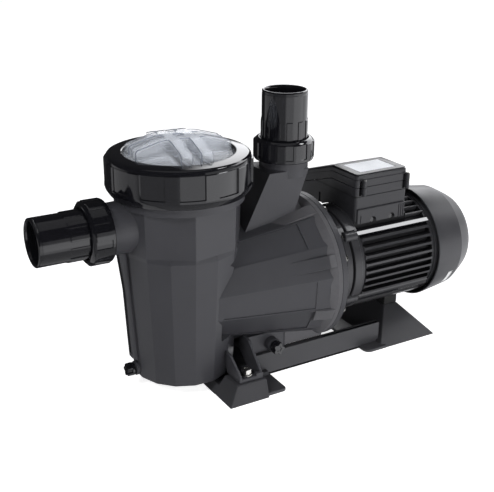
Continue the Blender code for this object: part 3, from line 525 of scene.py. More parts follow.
def tower(index):
    """One of the wedges on the casing that take the flange bolts."""
    turn = flange_bolt_turn(index)
    outline = []
    rows = ((0.112, 0.086), (0.112, 0.0885), (0.178, 0.1058), (0.1950, 0.1062), (0.1950, 0.086))
    for along, radius in rows:
        outline.append(place(ABOUT_MOTOR, radius, along, turn))
    side = toward(ABOUT_MOTOR, turn + 90)
    item = prism(f"tower_{index}", [point - side * 0.009 for point in outline], side * 0.018)
    return bevelled(item, 0.0008)


def facet_sinker(low, high, start, end, depth):
    """A tool that sinks most of one casing facet between two distances along the pump."""
    out = toward(ABOUT_MOTOR, (low + high) / 2)
    rings = []
    for along in (start, end):
        first = place(ABOUT_MOTOR, casing_radius(along), along, low)
        last = place(ABOUT_MOTOR, casing_radius(along), along, high)
        near, far = first.lerp(last, 0.035), first.lerp(last, 0.965)
        rings.append([near - out * depth, far - out * depth, far + out * 0.010, near + out * 0.010])
    return loft(f"sinker_{low}", rings)


def leg(side):
    """The foot lug under the casing: a pad with two upright ribs and a small toe block."""
    pad = block(f"leg_pad{side}", (0.033, 0.069), (side * 0.1045, side * 0.0700), (LUG_LOW, LUG_TOP),
                edge=0.0012)
    left = [(0.1045, LUG_LOW), (0.1045, LUG_TOP + 0.0030), (0.0765, 0.0535), (0.056, 0.0565), (0.056, 0.044),
            (0.070, LUG_LOW)]
    right = [(0.1045, LUG_LOW), (0.1045, LUG_TOP + 0.0020), (0.0710, 0.0660), (0.045, 0.0690), (0.045, 0.044),
             (0.070, LUG_LOW)]
    pieces = []
    for index, (x, outline) in enumerate(((0.033, left), (0.065, right))):
        points = [Vector((TANK_X + x, side * y, z)) for y, z in outline]
        pieces.append(bevelled(prism(f"leg_rib{side}_{index}", points, (0.004, 0, 0)), 0.0009))
    pieces.append(block(f"leg_toe{side}", (0.0585, 0.0690), (side * 0.1048, side * 0.0985), (LUG_LOW, 0.0330),
                        edge=0.0011))
    return union(pad, *pieces)


def gusset():
    """The upright web under the suction port, deeply grooved down its outer edge."""
    outline = [(-0.060, 0.205), (-0.0916, 0.205), (-0.0843, 0.147), (-0.0807, 0.078),
               (-0.0787, 0.046), (-0.0700, 0.0395), (-0.060, 0.0395)]
    web = bevelled(prism("gusset", flat_outline(outline, -0.0064), (0, 0.0128, 0)), 0.0009)
    groove = [(-0.100, 0.199), (-0.0815, 0.199), (-0.0765, 0.147), (-0.0730, 0.078), (-0.0720, 0.052),
              (-0.100, 0.052)]
    return cut(web, prism("groove", flat_outline(groove, -0.0036), (0, 0.0072, 0)))


def duct():
    """The leaning square duct up to the discharge port."""
    body = frustum("duct", (0.074, 0.150, -0.031, 0.031, 0.192), (0.120, 0.184, -0.031, 0.031, 0.285))
    return bevelled(body, 0.0012, segments=2)


def port(name, face, root, basis, neck, foot):
    """A union's threaded stub on its neck, with the neck's radius at the stub and at the wall."""
    return lathe(name, [
        (0.0362, face), (0.0372, face - 0.001), (0.0372, face - 0.0150), (neck, face - 0.0152),
        (foot, root), (0.0260, root), (0.0260, face),
    ], basis, None, 72)


def build_housing():
    tank = loft("housing", [
        tank_ring(0.0640, 0.0140), tank_ring(0.0700, 0.0175), tank_ring(0.0820, 0.198),
        tank_ring(0.0835, 0.204, True), tank_ring(0.0845, 0.272, True),
    ], HOUSING)
    bevelled(tank, 0.0009, 9, 2)
    casing = loft("casing", [casing_ring(0.0), casing_ring(0.186)])
    bevelled(casing, 0.0010, 12, 2)
    rim = lathe("rim", [(0.0852, RIM_TOP), (0.0862, RIM_TOP - 0.001), (0.0862, 0.264), (0.0735, 0.264),
                        (0.0735, RIM_TOP)], ABOUT_TANK, None, 96)
    flange = lathe("flange_band", [
        (0.090, 0.1955), (0.1066, 0.1955), (0.1070, 0.1951), (0.1068, 0.1890), (0.1046, 0.1845),
        (0.1010, 0.1790), (0.090, 0.1750)], ABOUT_MOTOR, None, 120)
    drains = []
    for name, basis, face, root in (("tank_boss", DRAIN_TANK, DRAIN_FACE, 0.060),
                                    ("volute_boss", DRAIN_VOLUTE, VOLUTE_DRAIN_FACE, 0.010)):
        drains.append(lathe(name, [(0.0055, face), (0.0095, face), (0.0100, face - 0.0008), (0.0100, root),
                                   (0.0055, root)], basis, None, 40))
    union(tank, casing, rim, flange, duct(), gusset(), leg(-1), leg(1),
          *[tower(i) for i in range(8)], *drains,
          port("suction_port", SUCTION_PORT, 0.0740, ABOUT_SUCTION, 0.0340, 0.0350),
          port("discharge_port", DISCHARGE_PORT, 0.2740, ABOUT_DISCHARGE, 0.0340, 0.0340),
          block("belly", (0.130, 0.1955), (-0.061, 0.061), (0.0375, 0.0640), edge=0.0015),
          block("belly_root", (0.070, 0.132), (-0.060, 0.060), (0.0364, 0.0640)))
    sinkers = []
    for low, high, end in SUNK_FACETS:
        sinkers.append(facet_sinker(low, high, SUNK_START, end, SUNK_DEPTH))
        sinkers.append(facet_sinker(180 - high, 180 - low, SUNK_START, end, SUNK_DEPTH))
    chamber = lathe("chamber", [(0, 0.281), (0.0695, 0.281), (0.0695, 0.150), (0.0610, 0.026), (0, 0.026)],
                    ABOUT_TANK, None, 64)
    throat = rod("throat", ABOUT_MOTOR, 0.058, 0.040, 0.1000, 48)
    eye = rod("eye", ABOUT_MOTOR, 0.0268, 0.090, 0.120, 40)
    cavity = lathe("cavity", [(0, 0.210), (0.0900, 0.210), (0.0900, 0.180), (0.0845, 0.180),
                              (0.0845, 0.150), (0.0800, 0.106), (0, 0.106)], ABOUT_MOTOR, None, 64)
    bore = frustum("duct_bore", (0.0950, 0.1380, -0.024, 0.024, 0.190),
                   (0.1365, 0.1795, -0.024, 0.024, 0.280))
    suction = rod("suction_hole", ABOUT_SUCTION, 0.0253, 0.030, SUCTION_PORT - 0.020, 48)
    discharge = rod("discharge_hole", ABOUT_DISCHARGE, 0.0253, 0.272, DISCHARGE_PORT - 0.004, 48)
    tank_drain = rod("tank_drain_hole", DRAIN_TANK, 0.0048, 0.045, 0.0730, 20)
    volute_drain = rod("volute_drain_hole", DRAIN_VOLUTE, 0.0048, -0.004, 0.0675, 20)
    bolts = []
    for side in (-1, 1):
        basis = (Vector((TANK_X + 0.0487, side * 0.0943, 0)), Z, X, Y)
        bolts.append(rod(f"lug_hole{side}", basis, 0.0045, 0.010, 0.045, 20))
    cut(tank, *sinkers, chamber, throat, eye, cavity, bore, suction, discharge, tank_drain, volute_drain,
        *bolts)
    tank.data.materials.append(FLANGE)
    for face in tank.data.polygons:
        along = face.center.x - TANK_X
        off = hypot(face.center.y, face.center.z - MOTOR_Z)
        mottled = FLOW_START < along < FLOW_END and off > FLOW_INSIDE and face.center.z < FLOW_TOP
        face.material_index = 1 if mottled else 0
    shown(tank, "pump_housing", 24)
    for name, basis, face in (("suction", ABOUT_SUCTION, SUCTION_PORT),
                              ("discharge", ABOUT_DISCHARGE, DISCHARGE_PORT)):
        threads = spiral(f"{name}_thread", basis, 0.0373, 0.0008, face - 0.0130, face - 0.0020, 3.6, HOUSING)
        detail(threads, BODY)
    threads = spiral("rim_thread", ABOUT_TANK, 0.0864, 0.0013, 0.2770, RIM_TOP - 0.0030, 1.25, HOUSING, 4)
    detail(threads, BODY)


# --- Lid, clamp ring and basket ----------------------------------------------------------------

RING_LOW, RING_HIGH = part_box("lid_ring")
RING_R = (RING_HIGH.x - RING_LOW.x) / 2
RING_GRIPS = (30, 14, 9.8, 0.5, 0.0021)
RIB_TURN = -5.0          # the lid's crossed ribs, about the tank's axis
RIB_OFFSET = 0.0135
RIB_HALF = 0.0082
RIB_WALL = 0.0022


def build_ring():
    top, low = RING_HIGH.z, RING_LOW.z
    ring = lathe("clamp_ring", [
        (0.0732, top - 0.0010), (0.0745, top - 0.0001), (0.0765, top), (0.0900, top - 0.0012),
        (0.0928, top - 0.0024), (0.0940, top - 0.0040), (RING_R - 0.0026, top - 0.0072),
        (RING_R - 0.0024, top - 0.0080), (RING_R - 0.0006, top - 0.0081, 1), (RING_R, top - 0.0087, 1),
        (RING_R, low + 0.0128, 1), (RING_R, low + 0.0122), (RING_R, low + 0.0095),
        (RING_R - 0.0012, low + 0.0060), (0.0932, low + 0.0015), (0.0922, low), (0.0888, low),
        (0.0888, top - 0.005), (0.0732, top - 0.005),
    ], ABOUT_TANK, GLOSS, grips=RING_GRIPS)
    bevelled(ring, 0.00045, 30)
    shown(ring, "lid_ring", 40)


def lid_rib(name, turn, offset, wall):
    """One of the handle's hollow ribs, or its inside when a wall thickness is given."""
    along = toward(ABOUT_TANK, turn)
    across = toward(ABOUT_TANK, turn + 90)
    reach, low, end, high = 0.0655 - wall, 0.3200 - wall * 4, 0.3395 - wall, 0.3478 - wall
    side = [(-reach, low), (-reach, end - 0.0040), (-reach + 0.0025, end - 0.0010), (-reach + 0.0065, end),
            (-0.034, high - 0.0012), (-0.026, high), (0.026, high), (0.034, high - 0.0012),
            (reach - 0.0065, end), (reach - 0.0025, end - 0.0010), (reach, end - 0.0040), (reach, low)]
    middle = ABOUT_TANK[0] + across * (offset - RIB_HALF + wall)
    item = prism(name, [middle + along * u + Z * z for u, z in side], across * 2 * (RIB_HALF - wall), CLEAR)
    item.data.materials.append(CLEAR_PAINTED_EDGE_SHADE)
    # The outer ribs' rounded edges take slot 1, the painted edge shade.
    return bevelled(item, 0.0013 - wall * 0.2, 40, 1, 0 if wall else 1)


def build_lid():
    lid = lathe("clear_lid", [
        (0, 0.3330), (0.020, 0.3326), (0.038, 0.3312), (0.055, 0.3286), (0.064, 0.3264), (0.0690, 0.3246),
        (0.0712, 0.3232), (0.0720, 0.3219), (0.0795, 0.3219), (0.0795, 0.3171), (0.0670, 0.3171),
        (0.0662, 0.3205), (0.0640, 0.3226), (0.055, 0.3250), (0.038, 0.3275), (0.020, 0.3289), (0, 0.3293),
    ], ABOUT_TANK, CLEAR, 96)
    # Slot 1 carries the ribs' painted edge shade through the union.
    lid.data.materials.append(CLEAR_PAINTED_EDGE_SHADE)
    offsets = [(turn, offset) for turn in (RIB_TURN, RIB_TURN + 90) for offset in (-RIB_OFFSET, RIB_OFFSET)]
    # Each rib stands 0.1 mm further over than the one before, so no two faces lie in one plane.
    places = [(turn, offset + 0.0001 * index) for index, (turn, offset) in enumerate(offsets)]
    union(lid, *[lid_rib(f"rib_{i}", *at, 0) for i, at in enumerate(places)])
    cut(lid, *[lid_rib(f"hollow_{i}", *at, RIB_WALL) for i, at in enumerate(places)])
    shown(lid, "lid", 35)


BASKET_COLUMNS = 72


def basket_ring(builder, radius, z):
    return [builder.verts.new(place(ABOUT_TANK, radius, z, 360 * column / BASKET_COLUMNS))
            for column in range(BASKET_COLUMNS)]


def build_basket():
    """A moulded basket: a pierced wall and floor, a rim, and a bail across its mouth."""
    builder = bmesh.new()
    columns, rows = BASKET_COLUMNS, 34
    low, high = 0.0365, 0.2720
    levels = [low + (high - low) * row / rows for row in range(rows + 1)]
    rings = []
    for z in levels:
        radius = 0.0562 + (0.0656 - 0.0562) * min(1, (z - low) / 0.112) ** 0.8
        rings.append(basket_ring(builder, radius, z))
    for row in range(rows):
        for column in range(columns):
            after = (column + 1) % columns
            z = (levels[row] + levels[row + 1]) / 2
            y = 0.066 * sin(radians(360 * (column + 0.5) / columns))
            faces_port = abs(360 * (column + 0.5) / columns - 180) < 60
            if faces_port and hypot(y, z - SUCTION_Z) < 0.0275:
                continue
            if column % 2 and row % 2 and 1 < row < rows - 2:
                continue
            builder.faces.new((rings[row][column], rings[row][after],
                               rings[row + 1][after], rings[row + 1][column]))
    inner = rings[0]
    for radius in (0.047, 0.038, 0.029, 0.020, 0.011):
        ring = basket_ring(builder, radius, low)
        for column in range(columns):
            if radius in (0.038, 0.020) and column % 4 in (1, 2):
                continue
            after = (column + 1) % columns
            builder.faces.new((inner[column], inner[after], ring[after], ring[column]))
        inner = ring
    builder.faces.new(inner)
    basket = to_object("basket", builder, PALE)
    solid = basket.modifiers.new("Wall", "SOLIDIFY")
    solid.thickness = 0.0018
    solid.offset = -1
    bake(basket)
    rim = lathe("basket_rim", [(0.0635, 0.2763), (0.0712, 0.2763), (0.0718, 0.2757), (0.0718, 0.2726),
                               (0.0660, 0.2720), (0.0635, 0.2700)], ABOUT_TANK, PALE, 96)
    smooth(rim)
    bail = block("basket_bail", (-0.0050, 0.0050), (-0.0650, 0.0650), (0.2728, 0.2762), PALE, 0.0010)
    smooth(bail)
    for piece in (rim, bail):
        piece.parent = basket
    shown(basket, "strainer_basket", 30)


# --- Unions and drain plugs --------------------------------------------------------------------

TAIL_R = 0.0327


def build_union(name, basis, port_face, reach, rib_turn, pad_turn):
    """A tail that reaches this far along its axis and the nut that holds it, gripped at these turns."""
    collar = port_face + 0.0040
    nut_face = reach - 0.0655
    band = nut_face + 0.0250
    pads = (30, pad_turn + 15, 8.0, 0.5, 0.0012)
    body = TAIL_R - 0.0012
    tail = lathe(f"{name}_spigot", [
        (0.0280, reach - 0.0006), (0.0290, reach), (0.0300, reach), (0.0310, reach - 0.0006),
        (0.0315, reach - 0.0016), (0.0315, reach - 0.0030), (0.0311, reach - 0.0034),
        (0.0311, reach - 0.0046), (0.0315, reach - 0.0050), (body, band + 0.0006), (TAIL_R - 0.0001, band, 1),
        (TAIL_R, band - 0.0006, 1), (TAIL_R, nut_face - 0.0030, 1), (body, nut_face - 0.0034),
        (body, collar + 0.0052), (0.0366, collar + 0.0052), (0.0366, collar),
        (0.0260, collar), (0.0260, reach - 0.0045),
    ], basis, GLOSS, grips=pads)
    bevelled(tail, 0.0003, 30)
    shown(tail, f"{name}_tail", 40)
    windows = (30, rib_turn + 15, 7.5, 0.5, 0.0014)
    low = nut_face - 0.0300
    nut = lathe(f"{name}_union_nut", [
        (0.0335, nut_face - 0.0010), (0.0345, nut_face), (0.0365, nut_face), (0.0385, nut_face - 0.0010),
        (0.0407, nut_face - 0.0030), (0.0411, nut_face - 0.0040), (0.0423, nut_face - 0.0042, 1),
        (0.0425, nut_face - 0.0048, 1), (0.0425, low + 0.0056, 1), (0.0425, low + 0.0050),
        (0.0424, low + 0.0034), (0.0413, low + 0.0030), (0.0412, low + 0.0010), (0.0404, low),
        (0.0388, low), (0.0388, nut_face - 0.0068), (0.0335, nut_face - 0.0068),
    ], basis, GLOSS, grips=windows)
    bevelled(nut, 0.00035, 30)
    shown(nut, f"{name}_nut", 40)


def build_drain_plug(name, basis, face):
    """A hand plug: a thin collar, a five-lobed knob with a dished top, and a threaded shank."""
    collar = lathe(f"{name}_knob", [
        (0, face + 0.0058), (0.0086, face + 0.0058), (0.0092, face + 0.0052), (0.0092, face + 0.0028),
        (0.0088, face + 0.0022), (0.0041, face + 0.0022), (0.0041, face - 0.0094), (0.0035, face - 0.0100),
        (0, face - 0.0100)], basis, GLOSS, 48)
    builder = bmesh.new()
    rings = []
    columns = 60
    profile = ((0.0050, 0.96), (0.0056, 1.0), (0.0117, 0.98), (0.0125, 0.90), (0.0125, 0.45), (0.0117, 0.38))
    for height, share in profile:
        ring = []
        for index in range(columns):
            turn = 360 * index / columns
            lobe = 0.0081 + 0.0015 * cos(radians(5 * turn))
            ring.append(builder.verts.new(place(basis, lobe * share, face + height, turn)))
        rings.append(ring)
    for first, second in zip(rings, rings[1:]):
        for index in range(columns):
            after = (index + 1) % columns
            builder.faces.new((first[index], first[after], second[after], second[index]))
    builder.faces.new(rings[0])
    builder.faces.new(rings[-1])
    union(collar, to_object(f"{name}_lobes", builder))
    shown(collar, f"{name}_plug", 38)


# --- Motor -------------------------------------------------------------------------------------

FIN_PITCH = 0.0115
FIN_THICK = 0.0033
FRAME_R = 0.0700
SHORT_FIN_TURNS = (54.5, 63, 71.5, 80, 100, 108.5, 117, 125.5)
TIE_BOLTS = [(side * sqrt(0.0758 ** 2 - height ** 2), height)
             for side in (-1, 1) for height in (4.5 * FIN_PITCH, -3.5 * FIN_PITCH)]


def gap_tool(name, low, high, across, middle, upright):
    """A round-ended slot's tool: along the motor from low to high, cut in from one side or from below."""
    half = (FIN_PITCH - FIN_THICK) / 2
    outline = []
    for end, start in ((high - half, -90), (low + half, 90)):
        for step in range(9):
            turn = radians(start + 180 * step / 8)
            outline.append((end + half * cos(turn), middle + half * sin(turn)))
    if upright:
        return prism(name, [Vector((TANK_X + x, y, MOTOR_Z - 0.090)) for x, y in outline], (0, 0, 0.060))
    points = [Vector((TANK_X + x, across * 0.090, MOTOR_Z + z)) for x, z in outline]
    return prism(name, points, (0, -across * 0.060, 0))


def rail(name, side, outline):
    """A tie bolt's bar along the motor, from an outline of (out, up) about the motor's axis."""
    points = [Vector((TANK_X + 0.2525, side * y, MOTOR_Z + z)) for y, z in outline]
    return bevelled(prism(name, points, (0.1320, 0, 0), PAINT), 0.0005)


def build_motor_frame():
    low, high = 0.2510, 0.3860
    body = lathe("motor_body", [
        (0.0635, high), (0.0772, high), (0.0775, high - 0.0003), (0.0775, high - 0.0050),
        (0.0797, high - 0.0058), (0.0797, low + 0.0058), (0.0775, low + 0.0050), (0.0775, low + 0.0003),
        (0.0772, low), (0.0635, low)], ABOUT_MOTOR, PAINT, 128)
    tools = []
    gap_low, gap_high = low + 0.005, high - 0.005
    for side in (-1, 1):
        for index in range(-3, 4):
            tools.append(gap_tool(f"gap_{side}_{index}", gap_low, gap_high, side, (index + 0.5) * FIN_PITCH,
                                  False))
        tools.append(block(f"rail_seat_{side}", (low + 0.0052, high - 0.0052), (side * 0.0440, side * 0.0900),
                           (MOTOR_Z + 0.0478, MOTOR_Z + 0.0800)))
        tools.append(block(f"bar_seat_{side}", (low + 0.0052, high - 0.0052), (side * 0.0540, side * 0.0900),
                           (MOTOR_Z - 0.0800, MOTOR_Z - 0.0365)))
    for index in range(-4, 4):
        tools.append(gap_tool(f"under_gap_{index}", gap_low, gap_high, 0, (index + 0.5) * FIN_PITCH, True))
    tools.append(block("short_fin_seat", (0.3515, high - 0.0052), (-0.0450, 0.0450),
                       (MOTOR_Z + 0.05, MOTOR_Z + 0.09)))
    # Slot 1 is the painted shade between the fins, slot 2 the gloss of the rails.
    body.data.materials.append(FIN_GAP_PAINTED_SHADE)
    body.data.materials.append(GLOSS)
    tube = lathe("motor_tube", [(0.0630, high - 0.0002), (FRAME_R, high - 0.0002), (FRAME_R, low + 0.0002),
                                (0.0630, low + 0.0002)], ABOUT_MOTOR, None, 128)
    # The cut walls of the gaps and the frame tube between the fins take slot 1, the painted shade.
    for item in (*tools, tube):
        use_slot(item, 1)
    cut(body, *tools)
    rails = []
    for side in (-1, 1):
        rails.append(rail(f"top_rail{side}", side, [
            (0.0440, 0.0572), (0.0556, 0.0572), (0.0606, 0.0530), (0.0560, 0.0470), (0.0440, 0.0470)]))
        rails.append(rail(f"low_rail{side}", side, [
            (0.0540, -0.0368), (0.0690, -0.0368), (0.0694, -0.0400), (0.0660, -0.0475), (0.0540, -0.0475)]))
    for item in rails:
        use_slot(item, 2)
    fins = []
    for turn in SHORT_FIN_TURNS:
        out = toward(ABOUT_MOTOR, turn)
        side = toward(ABOUT_MOTOR, turn + 90)
        base = Vector((TANK_X + 0.3500, 0, MOTOR_Z)) + out * 0.0680 - side * 0.0012
        outline = [base, base + X * 0.0335, base + X * 0.0335 + out * 0.0110, base + out * 0.0110]
        fins.append(bevelled(prism(f"short_fin_{turn}", outline, side * 0.0024, PAINT), 0.0004))
    union(body, tube, *rails, *fins)
    bevelled(body, 0.0004, 50, 1)
    shown(body, "motor_frame", 38)


def build_front_shield():
    """The bracket that carries the motor: two rims with a waist, ribs, and lugs for the tie bolts."""
    shield = lathe("motor_bracket", [
        (0.0785, 0.2507), (0.0790, 0.2502), (0.0790, 0.2388), (0.0784, 0.2380), (0.0735, 0.2376),
        (0.0735, 0.2352), (0.0774, 0.2348), (0.0780, 0.2340), (0.0780, 0.2252), (0.0774, 0.2244),
        (0.0735, 0.2240), (0.0735, 0.2216), (0.0784, 0.2212), (0.0790, 0.2206), (0.0790, 0.2053),
        (0.0785, 0.2048), (0.0700, 0.2048), (0.0680, 0.2280), (0.0280, 0.2310), (0.0120, 0.2310),
        (0.0120, 0.2358), (0.0238, 0.2358), (0.0238, 0.2507)], ABOUT_MOTOR, PAINT, 96)
    lugs = []
    places = [shifted(ABOUT_MOTOR, hypot(y, z), degrees(atan2(z, -y))) for y, z in TIE_BOLTS]
    for index, basis in enumerate(places):
        lugs.append(lathe(f"lug_{index}", [(0, 0.2500), (0.0078, 0.2500), (0.0082, 0.2496), (0.0082, 0.2300),
                                           (0.0074, 0.2290), (0, 0.2290)], basis, None, 32))
    union(shield, *lugs)
    shown(shield, "front_shield", 34)
    for index, basis in enumerate(places):
        head = lathe(f"tie_head_{index + 1}", [
            (0, 0.2262), (0.0014, 0.2264), (0.0024, 0.2272), (0.0028, 0.2284), (0.0028, 0.2302), (0, 0.2302),
        ], basis, STEEL, 24)
        detail(head, BODY, 30)


def build_rear():
    shield = lathe("motor_end_plate", [
        (0.0785, 0.3980), (0.0790, 0.3975), (0.0790, 0.3868), (0.0785, 0.3863), (0.0203, 0.3863),
        (0.0203, 0.3960), (0.0100, 0.3960), (0.0100, 0.3990), (0.0300, 0.3990), (0.0320, 0.3980),
    ], ABOUT_MOTOR, PAINT, 96)
    shown(shield, "rear_shield", 34)
    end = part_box("fan_cover")[1].x - TANK_X
    cover = lathe("motor_fan_cover", [
        (0.0500, end), (0.0545, end - 0.0002), (0.0580, end - 0.0008), (0.0606, end - 0.0017),
        (0.0628, end - 0.0031), (0.0644, end - 0.0047), (0.0662, end - 0.0074), (0.0688, end - 0.0118),
        (0.0715, end - 0.0168), (0.0744, end - 0.0224), (0.0804, end - 0.0340),
        (0.0815, end - 0.0420), (0.0836, end - 0.0585), (0.0852, end - 0.0720), (0.0860, end - 0.0800),
        (0.0862, end - 0.0828), (0.0857, end - 0.0835), (0.0842, end - 0.0835), (0.0838, end - 0.0800),
        (0.0778, end - 0.0350), (0.0650, end - 0.0085), (0.0590, end - 0.0035), (0.0070, end - 0.0035),
        (0.0070, end),
    ], ABOUT_MOTOR, COVER, 128)
    slots = []
    for index in range(24):
        turn = 15 * index
        for low, high, half in ((0.0130, 0.0300, 0.0012), (0.0340, 0.0520, 0.0022)):
            out = toward(ABOUT_MOTOR, turn)
            side = toward(ABOUT_MOTOR, turn + 90)
            base = Vector((TANK_X + end - 0.010, 0, MOTOR_Z))
            outline = [base + out * low - side * half * 0.7, base + out * high - side * half,
                       base + out * high + side * half, base + out * low + side * half * 0.7]
            slots.append(prism(f"slot_{index}_{low}", outline, (0.020, 0, 0)))
    cut(cover, *slots)
    shown(cover, "fan_cover", 14)
    for index, turn in enumerate((120, 180, 240)):
        basis = shifted((ABOUT_MOTOR[0] + X * 0.3960, toward(ABOUT_MOTOR, turn),
                         X, toward(ABOUT_MOTOR, turn + 90)), 0, 0)
        screw = lathe(f"cover_screw_{index + 1}", [
            (0, 0.0872), (0.0012, 0.0872), (0.0014, 0.0866), (0.0026, 0.0870), (0.0034, 0.0862),
            (0.0036, 0.0852), (0, 0.0840)], basis, STEEL, 24)
        detail(screw, BODY, 40)
    patch = []
    for along in (0.4205, 0.4247, 0.4290, 0.4332, 0.4375):
        radius = 0.0836 - (along - 0.4140) * 0.147 + 0.0003
        patch.append([place(ABOUT_MOTOR, radius, along, turn) for turn in range(-42, -23, 3)])
    builder = bmesh.new()
    rows = [[builder.verts.new(point) for point in row] for row in patch]
    for first, second in zip(rows, rows[1:]):
        for index in range(len(first) - 1):
            builder.faces.new((first[index], first[index + 1], second[index + 1], second[index]))
    sticker = to_object("cover_sticker", builder, STICKER)
    solid = sticker.modifiers.new("Thickness", "SOLIDIFY")
    solid.thickness = 0.0003
    bake(sticker)
    detail(sticker, BODY)


# --- Terminal box ------------------------------------------------------------------------------

BOX_LOW, BOX_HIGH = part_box("terminal_box_lid")
BOX_X = (BOX_LOW.x - TANK_X, BOX_HIGH.x - TANK_X)
BOX_Y = (BOX_LOW.y, BOX_HIGH.y)
BOX_FLAT_Y = 0.015
BOX_TOP = BOX_HIGH.z
BOX_DROP = BOX_TOP - 0.2371        # how much lower the roof is at the far side
BOX_SEAM = BOX_TOP - 0.0195
BOX_EAVE_Y = 0.0345                # beyond this the underside stands clear of the motor
BOX_EAVE_Z = 0.2015


def box_slice(name, inset, low, high, level_low=True, material=None, radius=0.0045):
    """A slice of the terminal box whose top follows the roof, with rounded uprights."""
    near, far = BOX_Y[0] + inset, BOX_Y[1] - inset
    left, right = BOX_X[0] + inset, BOX_X[1] - inset
    if level_low:
        rows = [(near, low), (far, low)]
    else:
        rows = [(near, low), (BOX_FLAT_Y, low), (far, low - BOX_DROP)]
    rows += [(far, high - BOX_DROP), (BOX_FLAT_Y, high), (near, high)]
    points = [Vector((TANK_X + left - 0.01, y, z)) for y, z in rows]
    item = prism(name, points, (right - left + 0.02, 0, 0), material)
    column = slab(f"{name}_column", (left, right), (near, far), 0.5, radius, (0, 90, 180, 270), 0)
    return solve(item, "INTERSECT", [column])


def post_notches(name, posts, high):
    """Tools for the notch beside each near post, up to a height."""
    return [block(f"{name}_{i}", (x - 0.0064, x - 0.0026), (y - 0.008, y + 0.0062), (0.2350, high))
            for i, (x, y) in enumerate(posts) if y < 0]


def build_terminal_box():
    seam, top = BOX_SEAM, BOX_TOP
    body = box_slice("cable_box", 0.0004, 0.1835, seam - 0.0006, True, BOX)
    bevelled(body, 0.0006, 40)
    inner = box_slice("cable_box_inner", 0.0030, 0.1850, seam + 0.01)
    cut(inner, rod("box_floor", ABOUT_MOTOR, 0.0838, 0.240, 0.370, 72),
        block("raised_floor", (0.240, 0.370), (BOX_EAVE_Y - 0.0030, 0.130), (0.150, BOX_EAVE_Z + 0.0030)))
    eave = block("eave", (0.240, 0.370), (BOX_EAVE_Y, 0.130), (0.150, BOX_EAVE_Z))
    slot = block("side_slot", (0.250, 0.2575), (0.0366, 0.0451), (0.1900, 0.2175))
    glands = block("gland_block", (0.2590, 0.3460), (BOX_Y[0] - 0.0026, BOX_Y[0] + 0.010), (0.1835, 0.2155),
                   edge=0.0020)
    rib_y = (BOX_Y[0] - 0.0036, BOX_Y[0] + 0.004)
    ribs = [block(f"box_rib_{i}", (x, x + 0.0016), rib_y, (0.1845, 0.2125), edge=0.0005)
            for i, x in enumerate((0.3340, 0.3380, 0.3420))]
    ribs.append(block("box_rib_left", (0.2646, 0.2660), rib_y, (0.1845, 0.2060), edge=0.0005))
    union(body, glands, *ribs)
    holes = []
    for index in (1, 2):
        low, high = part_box(f"gland_plug_{index}")
        basis = (Vector(((low.x + high.x) / 2, 0, (low.z + high.z) / 2)), -Y, X, Z)
        holes.append(rod(f"gland_hole_{index}", basis, 0.0058, 0.036, 0.055, 32))
        plug = lathe(f"blind_plug_{index}", [
            (0, 0.0452), (0.0034, 0.0452), (0.0040, 0.0446), (0.0040, 0.0436), (0.0056, 0.0434),
            (0.0056, 0.0425), (0, 0.0425),
        ], basis, GLOSS, 40)
        shown(plug, f"gland_plug_{index}", 40)
    posts = [(x, y) for y in (BOX_Y[0] - 0.0026, BOX_Y[1] + 0.0010) for x in (0.2682, 0.3470)]
    notches = post_notches("post_notch", posts, seam + 0.02)
    cut(body, inner, eave, rod("box_saddle", ABOUT_MOTOR, 0.0808, 0.240, 0.370, 72), slot, *holes, *notches)
    shown(body, "terminal_box", 30)
    lid = box_slice("cable_box_cover", 0.0, seam, top - 0.0086, False, BOX)
    bevelled(lid, 0.0005, 40)
    upper = bevelled(box_slice("cover_upper", 0.0012, seam + 0.004, top - 0.0022, False), 0.0016, 40, 3)
    neck = box_slice("cover_neck", 0.0040, seam + 0.004, top - 0.0008, False)
    plate = bevelled(box_slice("cover_plate", 0.0022, top - 0.0013, top, False), 0.0003, 40)
    union(lid, upper, neck, plate)
    hollow = box_slice("cover_inner", 0.0036, seam - 0.01, top - 0.0045, False)
    recess = block("plate_recess", (0.2700, 0.3345), (-0.0350, 0.0080), (top - 0.0005, top + 0.004))
    notches = post_notches("lid_notch", posts, top - 0.0098)
    cut(lid, hollow, recess, *notches)
    tops = []
    for index, (x, y) in enumerate(posts):
        basis = (Vector((TANK_X + x, y, 0)), Z, X, Y)
        drop = BOX_DROP if y > 0 else 0
        high, middle, low = top - 0.0090 - drop, seam - drop, 0.2355 - drop
        tops.append(lathe(f"post_{index}", [
            (0, high), (0.0026, high), (0.0031, high - 0.0005), (0.0031, middle + 0.0002),
            (0, middle + 0.0002)], basis, None, 28))
        lower = lathe(f"screw_post_{index + 1}", [
            (0, middle - 0.0003), (0.0031, middle - 0.0003), (0.0031, low + 0.0004), (0.0027, low), (0, low)],
            basis, BOX, 28)
        detail(lower, BODY)
        screw = lathe(f"box_screw_{index + 1}", [
            (0, high + 0.0014), (0.0014, high + 0.0013), (0.0023, high + 0.0008), (0.0026, high),
            (0.0026, high - 0.0010), (0, high - 0.0010)], basis, STEEL, 24)
        detail(screw, BODY, 40)
    union(lid, *tops)
    shown(lid, "terminal_box_lid", 30)
    label = block("plate", (0.2705, 0.3340), (-0.0345, 0.0075), (top - 0.0006, top - 0.0001), PLATE, 0.0002)
    detail(label, BODY)


# --- Base and fasteners ------------------------------------------------------------------------


